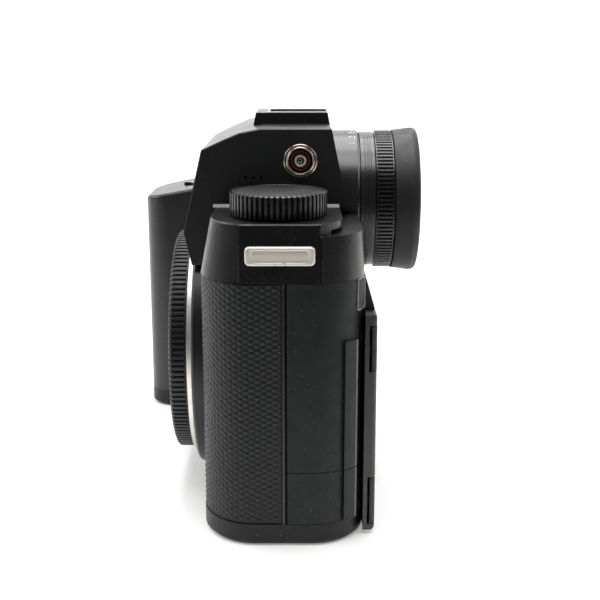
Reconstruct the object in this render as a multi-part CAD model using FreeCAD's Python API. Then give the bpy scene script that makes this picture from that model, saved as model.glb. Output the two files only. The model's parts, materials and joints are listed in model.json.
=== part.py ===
"""A single-lens reflex type digital camera with a body cap, as an assembly of its real pieces.

Millimetres, +Z up. +X is the photographer's left, -Y is the front. X = 0 is the plane of the lens,
the prism and the tripod axis, and the origin is the mouth of the tripod socket.
"""
import FreeCAD, Part
import math
import os

V = FreeCAD.Vector

near = 0.01  # edges closer than this to a place lie on it

# Body
hump_half = 30.0  # prism housing
dial_gap = 1.2  # from there to the dial on the photographer's left shoulder
dial_r = 13.9
dial_in = 18.9  # the dial's centre from the end wall
left_x = hump_half + dial_gap + dial_r + dial_in  # end wall on that side
collar_r = 40.8  # lens mount's collar
finger_gap = 16.2  # between the collar and the grip
grip_wide = 39.0
grip_inner_x = -collar_r - finger_gap
right_x = grip_inner_x - grip_wide  # end wall on the grip side
front_y = -22.5
rear_y = 24.3
band_z = 6.5  # top of the base plate, foot of the leather
shell_z = 77.2  # top of the leather, foot of the top cover
top_high = 15.9
shoulder_z = shell_z + top_high
corner_run = 17.0  # front left corner, an arc pair: run along X
corner_depth = 15.5  # and along Y
corner_tight_r = 14.0
rear_corner_r = 15.0
rear_grip_r = 11.0
grip_corner_r = 8.0
skin = 0.8  # leather
wall = 2.0
floor = 2.5  # base plate's floor
base_edge = 1.3  # bevel round the foot
top_lean = 2.1  # how far the top cover leans in
top_lean_fore = 0.9  # more at the front
top_lean_aft = -1.2  # less at the rear
top_edge = 0.4  # bevel round the shoulder
seam_y = 1.7  # front casing ends, rear cover begins
rib = 0.8  # rib between the leather and the doors
seam_gap = 0.1
seat_gap = 0.2  # plain gap between pieces that don't move
running = 0.03  # radial clearance of a turning or sliding fit
key_gap = 0.12  # round buttons
facet_in = 0.25  # flat facet cut in the top cover's left end
facet_front_y = -10.8
facet_rear_y = 12.2
ledge_drop = 3.2  # step along the rear of the left shoulder
ledge_wide = 6.5
ledge_r = 14.0
ledge_end_x = 24.0
ledge_y = rear_y - ledge_wide

# Grip
grip_proud = 30.9
grip_inner_r = 9.0
grip_outer_r = 12.0
grip_drop = 9.8  # its top's front lies this far under the shoulder
grip_rise = 6.0  # rise of its top from front to rear
grip_edge_r = 1.6  # rounding of its top edge
grip_leather_wide = 24.0
grip_front_y = front_y - grip_proud
grip_front_z = shoulder_z - grip_drop
grip_leather_x = right_x + grip_leather_wide

# Chassis
chassis_thick = 2.0
chassis_short = 6.0  # ends this far inside the grip
chassis_foot = 2.0
chassis_front_y = front_y + skin + wall
chassis_right_x = grip_inner_x - chassis_short
chassis_z = (band_z + chassis_foot, shell_z - skin)

# Lens mount, all round the lens axis
collar_low = 3.6  # the collar's lowest point
lens_z = collar_low + collar_r
collar_proud = 4.3
tube_long = 5.3
flange_proud = 1.7
flange_depth = 3.6
flange_in = 3.7
spigot_in = 2.2
mount_face = 11.0  # width of the flange
tube_wall = 3.3
lug_reach = 2.2
flange_r = collar_r - flange_in
collar_spigot_r = flange_r - spigot_in
throat_r = flange_r - mount_face
tube_r = throat_r + tube_wall
lug_r = throat_r - lug_reach  # bayonet lugs reach in to here
lug_deep = 1.8
lug_count = 3
lug_angle = 50.0
first_lug_angle = 90.0
first_screw_angle = 30.0
lock_pin_angle = 180.0
contact_middle_angle = 270.0
screw_ring_in = 5.2
screw_ring_r = flange_r - screw_ring_in
mount_screw_count = 6
screw_head_r = 1.7
screw_head = 1.1
screw_r = 0.9
mount_screw_length = 7.6
contact_angle = 44.0
contact_count = 8
contact_pin_r = 0.55
contact_stand = 0.5
contact_width = 2.4
contact_depth = 3.4
cap_in = 1.05
cap_r = flange_r - cap_in
cap_thick = 5.6
cap_gap = 0.1
cap_edge = 0.6
cap_boss_in = 0.6  # the boss clears the mount's lugs by this
cap_boss = 3.3
cap_recess_in = 3.4  # its recess, inside the boss
cap_recess = 3.2
cap_lug_in = 0.6  # its lugs clear the throat by this
cap_lug = 1.2
cap_lug_angle = 40.0
lock_pin_r = 1.3
lock_stand = 0.9
release_off = 5.6  # its centre lies this far outside the collar
release_low = 9.3
release_r = 4.2
release_stand = 2.8
release_lip = 1.0
collar_front_y = front_y - collar_proud
collar_end_y = chassis_front_y + tube_long
flange_front_y = collar_front_y - flange_proud
cap_front_y = flange_front_y - cap_gap - cap_thick
cap_boss_r = lug_r - cap_boss_in
cap_recess_r = cap_boss_r - cap_recess_in
cap_lug_r = throat_r - cap_lug_in
release_x = -collar_r - release_off
release_z = lens_z - release_low

# Eyepiece, all round its axis
eye_low = 1.8  # under the shoulder
eye_z = shoulder_z - eye_low
eye_barrel_r = 22.2
eye_sunk = 11.8
eye_barrel = 11.7  # the barrel's length
eye_ring_in = 0.6
eye_ring = 5.1
eye_sleeve_in = 4.2
eye_sleeve = 3.4
eye_bore_in = 2.5
dioptre_in = 0.1
dioptre_wide = 5.8
dioptre_gap = 0.1
cup_proud = 0.1
cup_flare = 0.75
cup_long = 7.9
cup_lip_in = 0.9
cup_lip = 1.2
cup_mouth_in = 2.35
cup_edge_r = 1.0
cell_wall = 1.8
cell_sunk = 3.5
cell_long = 17.0
ocular_sunk = 9.0
ocular_edge = 2.4
ocular_crown = 2.0
eye_start_y = rear_y - eye_sunk
eye_barrel_y = eye_start_y + eye_barrel
eye_ring_r = eye_barrel_r - eye_ring_in
eye_sleeve_r = eye_barrel_r - eye_sleeve_in
eye_bore_r = eye_sleeve_r - eye_bore_in
dioptre_r = eye_barrel_r - dioptre_in
cup_front_r = eye_barrel_r + cup_proud
cup_rear_r = cup_front_r + cup_flare
cup_lip_r = eye_bore_r - cup_lip_in
cup_mouth_r = cup_rear_r - cup_mouth_in
eye_ring_y = eye_barrel_y + eye_ring
dioptre_y = eye_ring_y + dioptre_wide
eye_sleeve_y = dioptre_y + eye_sleeve
cup_end_y = dioptre_y + cup_long
cell_front_y = eye_start_y + cell_sunk
cell_rear_y = cell_front_y + cell_long
ocular_front_y = cell_front_y + ocular_sunk

# Prism housing, its side outline as Y, Z points
hump_over_eye = 25.0
hump_bevel = 0.35
hump_wall = 2.2
nose_proud = 2.3
nose_over = 0.5  # above the collar
nose_foot = 10.3
brow = (5.7, 6.4)  # behind the nose and under the roof, as the next three
slope_1 = (12.1, 3.4)
slope_2 = (17.4, 1.2)
roof_start = 23.4
roof_end = 2.7  # behind the eyepiece's front end
rear_foot = 4.2  # before the rear
nose_y = collar_front_y - nose_proud
nose_z = lens_z + collar_r + nose_over
roof_z = eye_z + hump_over_eye
hump_nose_foot = (collar_front_y, nose_z - nose_foot)
hump_nose = (nose_y, nose_z)
hump_brow = (nose_y + brow[0], roof_z - brow[1])
hump_slope_1 = (nose_y + slope_1[0], roof_z - slope_1[1])
hump_slope_2 = (nose_y + slope_2[0], roof_z - slope_2[1])
hump_roof_front = (nose_y + roof_start, roof_z)
hump_roof_rear = (eye_start_y + roof_end, roof_z)
hump_rear_foot = (rear_y - rear_foot, shoulder_z)
# Three small holes in its left side
hole_r = 0.45
hole_before = 2.2  # the middle one, before the roof's front edge
hole_pitch = 2.3
hole_over = 8.7  # above the shoulder

# Accessory shoe
shoe_half = 11.0
pedestal_high = 3.4
pedestal_front = 4.1  # its solid front block
pedestal_lead = 2.8
pedestal_taper = 0.7
shoe_proud = 0.1
shoe_wall = 0.85
shoe_slot_half = 9.35
shoe_lip_half = 6.3
shoe_lip = 0.9
shoe_slot = 2.1
shoe_floor = 0.4
shoe_contact_r = 1.2
shoe_contact_stand = 0.12
shoe_contact_pitch = 4.0
pedestal_front_y = hump_roof_front[0] - pedestal_lead
pedestal_rear_y = hump_roof_rear[0] - pedestal_taper
pedestal_z = roof_z + pedestal_high
shoe_front_y = pedestal_front_y + pedestal_front
shoe_z = pedestal_z + shoe_proud

# Sync socket on the left side of the prism housing
sync_y = 6.0
sync_low = 9.5
sync_r = 5.1
sync_body_r = 4.0
sync_stand = 0.9
sync_depth = 3.6
sync_well_r = 3.6
sync_tube_r = 1.75
sync_pin_r = 0.95
sync_back = 1.6
sync_z = roof_z - sync_low

# Shutter speed dial
dial_y = -0.2
dial_lift = 0.4
dial_high = 6.7
dial_flutes = 54
dial_flute_r = 0.62
dial_dish_r = 12.4
dial_dish = 0.5
dial_shaft_r = 2.0
dial_shaft = 8.1
dial_x = left_x - dial_in
dial_foot_z = shoulder_z + dial_lift
dial_top_z = dial_foot_z + dial_high
dial_shaft_foot_z = shoulder_z - dial_shaft

# Grip controls
trigger_in = 19.0
trigger_fore = 7.2
trigger_r = 5.4
trigger_high = 2.6
trigger_stem_r = 2.2
trigger_stem = 7.0
trigger_travel = 0.9
pad_r = 8.2
pad_rise = 2.6
lever_r = 7.9
lever_high = 1.3
lever_tab = 2.4
lever_tab_width = 4.0
trigger_x = right_x + trigger_in
trigger_y = front_y - trigger_fore
pad_z = grip_front_z + pad_rise
trigger_top_z = pad_z + trigger_high
lever_z = pad_z + lever_high

# Rear controls
wheel_in = 22.0
wheel_deep = 6.8
wheel_r = 8.0
wheel_lift = 3.2
wheel_high = 6.0
wheel_flutes = 40
wheel_flute_r = 0.45
wheel_shaft_r = 1.5
wheel_boss_r = 3.4
lock_key_in = 40.0
lock_key_low = 8.1
lock_key_r = 4.0
lock_key_proud = 0.5
lock_key_deep = 4.9
lock_key_lip = 1.2
wheel_x = right_x + wheel_in
wheel_y = rear_y - wheel_deep
wheel_foot_z = shell_z + wheel_lift
lock_key_x = right_x + lock_key_in
lock_key_z = shoulder_z - lock_key_low
lock_key_out_y = rear_y + lock_key_proud
lock_key_in_y = rear_y - lock_key_deep

# Status display in the right shoulder
status_in = 28.0
status_long = 28.0
status_y = (-11.0, 9.0)
status_deep = 1.4
status_x = (right_x + status_in, right_x + status_in + status_long)

# Rear display
display_in = 7.5  # from the end wall on the photographer's left
display_half = left_x - display_in
display_thick = 3.5
display_foot_z = 1.3
display_under_eye = 2.2
display_edge = 1.4
screen_half = 34.0
screen_low = 10.2
screen_high = 6.9
screen_deep = 1.6
key_width = 6.5
key_deep = 1.6
key_upper = (16.8, 3.7)  # below the display's top
key_lower = (2.0, 16.3)  # above its foot
key_slack = 0.2
key_travel = 0.5
bridge_in = 4.5  # from the display's side
bridge_lap = 0.6  # it ends this far short of the display's face
pad_wide = 4.2  # raised leather pad, before the bridge
pad_thick = 0.35
pad_lift = 1.1
pad_corner_r = 0.9
thumb_in = (6.0, 3.0)  # from the right end and from the display
thumb_low = 2.5
thumb_high = 2.2
thumb_thick = 1.2
display_rear_y = rear_y + display_thick
display_z = (display_foot_z, eye_z - eye_barrel_r - display_under_eye)
screen_z = (display_z[0] + screen_low, display_z[1] - screen_high)
key_upper_z = (display_z[1] - key_upper[0], display_z[1] - key_upper[1])
key_lower_z = (display_z[0] + key_lower[0], display_z[0] + key_lower[1])
bridge_half = display_half - bridge_in
pad_left_x = (bridge_half + seat_gap, bridge_half + seat_gap + pad_wide)
pad_foot_z = display_z[1] + pad_lift
thumb_x = (right_x + thumb_in[0], -display_half - thumb_in[1])
thumb_z = (band_z + thumb_low, shell_z - thumb_high)

# Port doors
door_thick = 1.6
door_split_z = 22.2
door_clear = 0.4  # from the display's side
door_gap = 0.1
knuckle_r = 1.1
knuckle_gap = 0.2
door_pin_r = 0.5
door_pin_seat = 1.5
ridge_wide = 3.7
ridge_in = 2.1  # from the rear
ridge_low = 1.5
ridge_high = 17.0
ridge_proud = 0.9
panel_thick = 1.8
panel_lap = 4.4
port_y = 8.8
port_deep = 7.0
port_hole = 3.4
port_wall = 0.5
# centre height, height and width of each square port, behind the doors
ports = ((44.0, 14.6, 3.6), (29.5, 9.4, 3.6), (14.2, 8.0, 3.2))
jack_heights = (67.0, 57.0)
jack_r = 2.9
jack_hole_r = 1.75
door_end_x = display_half + door_clear
ridge_y = (rear_y - ridge_in - ridge_wide, rear_y - ridge_in)
ridge_z = (band_z - ridge_low, shell_z - ridge_high)
panel_end_x = door_end_x - panel_lap

# Battery, in the grip
battery_out = 6.0  # from the right end
battery_in = 7.0  # from the grip's inner side
battery_fore = 10.0
battery_rear = 13.1
battery_foot_z = 0.3
battery_low = 13.2
battery_gap = 0.15
battery_edge = 2.0
bay_wall = 1.4
bay_head = 6.0
latch_off = 4.5
latch_r = 5.6
latch_high = 2.0
latch_grip = 1.2
battery_x = (right_x + battery_out, grip_inner_x - battery_in)
battery_y = (grip_front_y + battery_fore, front_y + battery_rear)
battery_top_z = shell_z - battery_low
bay_top_z = battery_top_z + bay_head
latch_x = grip_inner_x + latch_off
latch_y = battery_y[1]

# Card door in the right end
card_door_y = (-14.0, 14.0)
card_door_in = (7.5, 7.2)  # above the base plate and below the top cover
card_door_thick = 1.4
card_cage_out = 2.4
card_cage_long = 27.6
card_cage_rear_y = 11.0
card_cage_in = (5.0, 6.0)
card_slot_width = 2.6
card_slot_pitch = 7.0
card_slot_in = (5.0, 12.0)
card_slot_deep = 24.0
card_door_z = (band_z + card_door_in[0], shell_z - card_door_in[1])
card_cage_x = (right_x + card_cage_out, right_x + card_cage_out + card_cage_long)
card_cage_y = (battery_y[1] + bay_wall, card_cage_rear_y)
card_cage_z = (card_door_z[0] + card_cage_in[0], card_door_z[1] - card_cage_in[1])
card_slot_z = (card_cage_z[0] + card_slot_in[0], card_cage_z[1] - card_slot_in[1])

# Base
tripod_r = 2.6  # minor radius of the 1/4 inch thread
tripod_deep = 6.0
tripod_boss_r = 6.0
tripod_plate_r = 9.5
tripod_plate = 1.2
tripod_top_z = 8.0
pin_hole_r = 2.3
pin_hole_y = 12.5
base_screw_in = 14.0
base_screw_places = ((left_x - base_screw_in, -13.0), (left_x - base_screw_in, 13.0), (-40.0, 16.0),
                     (30.0, -17.0))
base_boss_r = 3.0
base_screw_sunk = 0.15
base_screw_top_z = band_z - seam_gap

# Strap lugs
lug_y = (-9.1, 10.0)
lug_low = 4.9
lug_high = 5.2
lug_proud = 0.2
lug_corner_r = 1.3
lug_frame = 0.9
lug_frame_end = 2.0
lug_recess = 0.5
lug_stem_half = 3.0
lug_stem_in = 4.0
right_lug_y = (12.0, 19.0)
lug_z = (shell_z + lug_low, shell_z + lug_low + lug_high)
lug_out_x = left_x + lug_proud

# Mirror box, all inside
box_half = 24.5
box_low = 17.8
box_high = 20.7
box_long = 28.0
box_wall = 2.6
window_half = 18.6
window_in = 2.0
hinge_in = 1.6
hinge_high = 15.3
mirror_tilt = 45.0
mirror_long = 33.0
mirror_half = 18.2
mirror_frame = 1.3
mirror_glass = 0.9
mirror_rim = 0.8
mirror_axle_r = 0.8
sub_at = 14.0  # along the mirror from its hinge
sub_long = 10.5
sub_half = 9.0
sub_thick = 0.8
sub_gap = 0.25
screen_glass = 1.2
prism_half = 18.8
prism_back = 2.0
prism_fore = 3.4
prism_gap = 0.2
roof_lean = 9.0
box_z = (lens_z - box_low, lens_z + box_high)
box_rear_y = collar_end_y + box_long
window_y = (collar_end_y + window_in, box_rear_y - box_wall)
mirror_hinge_y = box_rear_y - hinge_in
mirror_hinge_z = lens_z + hinge_high
prism_rear_y = eye_start_y - prism_back
prism_front_y = window_y[0] - prism_fore
prism_front_low, prism_front_high = 3.2, 5.8  # from the eyepiece's axis
prism_crest_y = -5.0
prism_crest_high = 18.8
prism_rear_high = 11.3
prism_front_z = (eye_z - prism_front_low, eye_z + prism_front_high)
prism_crest = (prism_crest_y, eye_z + prism_crest_high)
prism_rear_z = eye_z + prism_rear_high

# Shutter and sensor
shutter_thick = 4.0
shutter_half = 26.0
shutter_low = 29.3
shutter_high = 18.7
gate_half = 18.5
gate_high = 12.0
shutter_skin = 0.9
blade_room_half = 20.5
blade_room_in = (1.4, 3.8)
blade_half = 20.2
blade = 0.5
blade_lap = 0.7
upper_blade_lap = 2.1
lower_blade_lap = 1.3
sensor_half = 23.0
sensor_low = 16.3
sensor_high = 16.7
sensor_thick = 2.3
board_half = 40.0
board_foot = 3.5
shutter_y = (box_rear_y + seam_gap, box_rear_y + seam_gap + shutter_thick)
shutter_z = (lens_z - shutter_low, lens_z + shutter_high)
gate_z = (lens_z - gate_high, lens_z + gate_high)
blade_room_y = (shutter_y[0] + shutter_skin, shutter_y[1] - shutter_skin)
blade_room_z = (shutter_z[0] + blade_room_in[0], shutter_z[1] - blade_room_in[1])
upper_blade_z = (lens_z - seam_gap, gate_z[1] + upper_blade_lap)
upper_blade_y = blade_room_y[0] + seat_gap
lower_blade_z = (gate_z[0] - lower_blade_lap, lens_z + blade_lap)
lower_blade_y = blade_room_y[1] - seat_gap * 2 - blade
sensor_z = (lens_z - sensor_low, lens_z + sensor_high)
sensor_y = (shutter_y[1] + seat_gap, shutter_y[1] + seat_gap + sensor_thick)
board_z = (band_z + board_foot, display_z[1] + seam_gap)
board_y = (sensor_y[1] + seat_gap + seam_gap, rear_y - wall - seat_gap)


def box(x, y, z):
    """A box between two values on each axis."""
    low = V(min(x), min(y), min(z))
    return Part.makeBox(max(x) - min(x), max(y) - min(y), max(z) - min(z), low)


def rod_z(x, y, z, r):
    return Part.makeCylinder(r, max(z) - min(z), V(x, y, min(z)), V(0, 0, 1))


def rod_y(x, z, y, r):
    return Part.makeCylinder(r, max(y) - min(y), V(x, min(y), z), V(0, 1, 0))


def rod_x(y, z, x, r):
    return Part.makeCylinder(r, max(x) - min(x), V(min(x), y, z), V(1, 0, 0))


def tube_y(x, z, y, outer, inner):
    return rod_y(x, z, y, outer).cut(rod_y(x, z, (min(y) - 1, max(y) + 1), inner))


def polygon(points):
    return Part.Face(Part.makePolygon([V(*p) for p in points] + [V(*points[0])]))


def side_profile(points, half):
    """A solid with an outline of Y, Z points, as wide as half on each side of X = 0."""
    face = polygon([(-half, y, z) for y, z in points])
    return face.extrude(V(2 * half, 0, 0))


def arc_about(centre, r, start, end, z):
    """An arc from one angle to another, in degrees, at height z."""
    def at(angle):
        a = math.radians(angle)
        return V(centre[0] + r * math.cos(a), centre[1] + r * math.sin(a), z)
    return Part.Arc(at(start), at((start + end) / 2), at(end)).toShape()


def closed_face(arcs):
    """A face whose outline is these arcs in order, joined by straight edges."""
    edges = []
    for n, edge in enumerate(arcs):
        edges.append(edge)
        here = edge.Vertexes[-1].Point
        there = arcs[(n + 1) % len(arcs)].Vertexes[0].Point
        if here.distanceToPoint(there) > 1e-6:
            edges.append(Part.LineSegment(here, there).toShape())
    return Part.Face(Part.Wire(edges))


def body_plan(z, inset=0.0, lean=0.0):
    """The body's outline without the grip, drawn in by inset, and by a share of the lean at front and rear."""
    front = front_y + lean * top_lean_fore
    rear = rear_y - lean * top_lean_aft
    tight = (left_x - corner_tight_r, front + corner_depth)
    wide_r = (corner_run ** 2 + corner_depth ** 2 - 2 * corner_run * corner_tight_r) / (
        2 * (corner_depth - corner_tight_r))
    wide = (left_x - corner_run, front + wide_r)
    turn = math.degrees(math.atan2(tight[1] - wide[1], tight[0] - wide[0]))
    return closed_face([
        arc_about(wide, wide_r - inset, -90, turn, z),
        arc_about(tight, corner_tight_r - inset, turn, 0, z),
        arc_about((left_x - rear_corner_r, rear - rear_corner_r), rear_corner_r - inset, 0, 90, z),
        arc_about((right_x + rear_grip_r, rear - rear_grip_r), rear_grip_r - inset, 90, 180, z),
        arc_about((right_x + grip_corner_r, front + grip_corner_r), grip_corner_r - inset,
                  -180, -90, z)])


def body_prism(z, inset=0.0):
    return body_plan(min(z), inset).extrude(V(0, 0, max(z) - min(z)))


def body_band(z, outer, inner):
    """A wall that follows the body's outline between two insets."""
    return body_prism(z, outer).cut(body_prism((min(z) - 1, max(z) + 1), inner))


def grip_plan(z, inset=0.0):
    """The grip's outline in front of the body's front wall, drawn in by inset."""
    inner = (grip_inner_x - grip_inner_r, grip_front_y + grip_inner_r)
    outer = (right_x + grip_outer_r, grip_front_y + grip_outer_r)
    back = front_y + grip_corner_r
    points = [V(right_x + inset, outer[1], z), V(right_x + inset, back, z),
              V(grip_inner_x - inset, back, z), V(grip_inner_x - inset, inner[1], z)]
    edges = [Part.LineSegment(a, b).toShape() for a, b in zip(points, points[1:])]
    edges.append(arc_about(inner, grip_inner_r - inset, 0, -90, z))
    edges.append(Part.LineSegment(V(inner[0], grip_front_y + inset, z),
                                  V(outer[0], grip_front_y + inset, z)).toShape())
    edges.append(arc_about(outer, grip_outer_r - inset, -90, -180, z))
    return Part.Face(Part.Wire(edges))


def grip_prism(z, inset=0.0):
    return grip_plan(min(z), inset).extrude(V(0, 0, max(z) - min(z)))


def top_envelope(inset=0.0, drop=0.0):
    """The top cover's outer form, leaning in as it rises, with its bevelled shoulder."""
    levels = [(shell_z, 0.0, 0.0), (shoulder_z - top_edge - drop, top_lean, 1.0),
              (shoulder_z - drop, top_lean + (0.0 if drop else top_edge), 1.0)]
    wires = [body_plan(z, inset + lean, share).OuterWire for z, lean, share in levels]
    lower = Part.makeLoft(wires[:2], True, True)
    return lower.fuse(Part.makeLoft(wires[1:], True, True)).removeSplitter()


def fluted_disc(x, y, z, r, flutes, flute_r):
    """A disc with round flutes cut in its edge."""
    step = 2 * math.pi / flutes
    half = math.asin(flute_r / r)
    edges = []
    for n in range(flutes):
        middle = n * step
        a, b = middle - half, middle + half
        c = middle + step - half
        deep = r - flute_r * 0.9
        points = [V(x + q * math.cos(t), y + q * math.sin(t), min(z))
                  for q, t in ((r, a), (deep, middle), (r, b), (r, (b + c) / 2), (r, c))]
        edges.append(Part.Arc(points[0], points[1], points[2]).toShape())
        edges.append(Part.Arc(points[2], points[3], points[4]).toShape())
    return Part.Face(Part.Wire(edges)).extrude(V(0, 0, max(z) - min(z)))


def ring_place(angle, r):
    """X and Z of a place on a circle round the lens axis, in degrees from +X towards +Z."""
    a = math.radians(angle)
    return r * math.cos(a), lens_z + r * math.sin(a)


def ring_sector(middle, width, y, outer, inner):
    """Part of a ring round the lens axis, centred on an angle."""
    whole = tube_y(0, lens_z, y, outer, inner)
    far = outer * 2
    a, b = math.radians(middle - width / 2), math.radians(middle + width / 2)
    wedge = polygon([(0, min(y) - 1, lens_z),
                     (far * math.cos(a), min(y) - 1, lens_z + far * math.sin(a)),
                     (far * math.cos(b), min(y) - 1, lens_z + far * math.sin(b))])
    return whole.common(wedge.extrude(V(0, max(y) - min(y) + 2, 0)))


def slot_angle(place):
    """Angle of a bayonet lug, evenly placed from the top."""
    return first_lug_angle + place * 360 / lug_count


def hinge_axis():
    """X and Y of the port doors' pin."""
    return left_x - knuckle_r, seam_y + knuckle_gap + knuckle_r


def card_hinge():
    """X and Y of the card door's pin."""
    return right_x + knuckle_r, card_door_y[0] + knuckle_r


def lug_solid(y, z, out_x, in_x):
    """A rounded bar with a recessed field inside its frame, on a stem that goes into the body."""
    side = 1 if out_x > in_x else -1
    end = min(lug_frame_end, (y[1] - y[0]) / 4)
    plate = box((out_x, in_x), y, z)
    along_x = [e for e in plate.Edges if abs(e.Vertexes[0].X - e.Vertexes[-1].X) > near]
    plate = plate.makeFillet(lug_corner_r, along_x)
    field = box((out_x - side * lug_recess, out_x + side),
                (y[0] + end, y[1] - end), (z[0] + lug_frame, z[1] - lug_frame))
    middle = sum(y) / 2
    stem = box((in_x, in_x - side * lug_stem_in), (middle - lug_stem_half, middle + lug_stem_half),
               (z[0] + lug_frame, z[1] - lug_frame))
    return plate.cut(field).fuse(stem).removeSplitter()


def make_lugs():
    left_in = left_x - top_lean - 1
    return {"strap_lug_left": lug_solid(lug_y, lug_z, lug_out_x, left_in),
            "strap_lug_right": lug_solid(right_lug_y, lug_z,
                                         right_x - (lug_out_x - left_x), right_x + top_lean + 1)}


def make_leather():
    """The leather: body front, grip and the two pads at the rear."""
    z = (band_z, shell_z)
    front = body_band(z, 0, skin).common(
        box((grip_inner_x + seam_gap, left_x + 1), (front_y - 1, seam_y - rib), z))
    front = front.cut(rod_y(0, lens_z, (front_y - 1, 0), collar_spigot_r + seat_gap))
    front = front.cut(rod_y(release_x, release_z, (front_y - 1, 0), release_r + key_gap))
    grip = grip_prism(z).cut(grip_prism((z[0] - 1, z[1] + 1), skin))
    grip = grip.common(box((right_x - 1, grip_leather_x), (grip_front_y - 1, front_y), z))
    outline = box(pad_left_x, (0, rear_y + 1), (pad_foot_z, shell_z - seam_gap))
    lower = [e for e in outline.Edges
             if abs(e.Vertexes[0].Y - e.Vertexes[-1].Y) > near and min(v.Z for v in e.Vertexes) < pad_foot_z + near]
    left_pad = body_band((pad_foot_z - 1, shell_z), -pad_thick, 0).common(outline.makeFillet(pad_corner_r, lower))
    thumb = box(thumb_x, (rear_y, rear_y + thumb_thick), thumb_z)
    along_y = [e for e in thumb.Edges if abs(e.Vertexes[0].Y - e.Vertexes[-1].Y) > near]
    thumb = thumb.makeFillet(lug_corner_r * 3, along_y)
    return {"leather_front": front, "leather_grip": grip,
            "leather_rear": Part.makeCompound([left_pad, thumb])}


def card_pocket(gap):
    """Space of the card door, with a gap round it, right through the end wall."""
    y = (card_door_y[0] - gap, card_door_y[1] + gap)
    z = (card_door_z[0] - gap, card_door_z[1] + gap)
    return box((right_x - 1, right_x + wall + skin + 1), y, z)


def make_casings(leather):
    """Front casing, rear cover and grip casing."""
    z = (band_z, shell_z)
    inner = skin + wall
    front = body_band(z, 0, inner).common(box((right_x - 1, left_x + 1), (front_y - 1, seam_y), z))
    front = front.cut(leather["leather_front"])
    front = front.cut(rod_y(0, lens_z, (front_y - 1, 0), collar_spigot_r + seat_gap))
    front = front.cut(rod_y(release_x, release_z, (front_y - 1, 0), release_r + key_gap))
    bay = box((battery_x[0] - bay_wall - 1, battery_x[1] + bay_wall + 1),
              (front_y - 1, front_y + grip_corner_r), (z[0] - 1, bay_top_z + 2))
    front = front.cut(bay).cut(card_pocket(door_gap))
    x, y = card_hinge()
    pin = rod_z(x, y, (card_door_z[0] - door_pin_seat - seam_gap, card_door_z[1] + door_pin_seat + seam_gap),
                door_pin_r + running)
    front = front.cut(pin)

    rear = body_band(z, 0, wall).common(box((right_x - 1, door_end_x - seat_gap), (seam_y, rear_y + 1), z))
    bridge = polygon([(-bridge_half, rear_y - wall, shell_z), (-bridge_half, rear_y, shell_z),
                      (-bridge_half, display_rear_y - bridge_lap, display_z[1] + seam_gap),
                      (-bridge_half, rear_y - wall, display_z[1] + seam_gap)])
    rear = rear.fuse(bridge.extrude(V(2 * bridge_half, 0, 0))).removeSplitter()
    rear = rear.cut(rod_y(0, eye_z, (seam_y, cup_end_y), eye_barrel_r + seam_gap))
    rear = rear.cut(card_pocket(door_gap))

    top = grip_front_z + grip_rise + 1
    grip = grip_prism((z[0], top)).cut(grip_prism((z[0] - 1, grip_front_z - wall - 1), skin + wall))
    slope = polygon([(right_x - 1, grip_front_y - 1, grip_front_z),
                     (right_x - 1, front_y, grip_front_z + grip_rise),
                     (right_x - 1, front_y + wall * 5, grip_front_z + grip_rise),
                     (right_x - 1, front_y + wall * 5, top + 1), (right_x - 1, grip_front_y - 1, top + 1)])
    grip = grip.cut(slope.extrude(V(grip_inner_x - right_x + 2, 0, 0)))
    rim = [e for e in grip.Edges if min(v.Z for v in e.Vertexes) > grip_front_z - near
           and max(v.Y for v in e.Vertexes) < front_y + near
           and e.CenterOfMass.y < front_y - near]
    grip = grip.makeFillet(grip_edge_r, rim)
    grip = grip.fuse(rod_z(trigger_x, trigger_y, (grip_front_z - wall, pad_z), pad_r))
    grip = grip.cut(rod_z(trigger_x, trigger_y, (pad_z, top), lever_r + lever_tab + seat_gap))
    grip = grip.cut(body_prism((z[0] - 1, shell_z))).cut(top_envelope())
    grip = grip.cut(leather["leather_grip"])
    grip = grip.cut(rod_z(trigger_x, trigger_y, (z[0], top), trigger_stem_r + key_gap))
    return {"front_casing": front, "rear_cover": rear, "grip_casing": grip.removeSplitter()}


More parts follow.
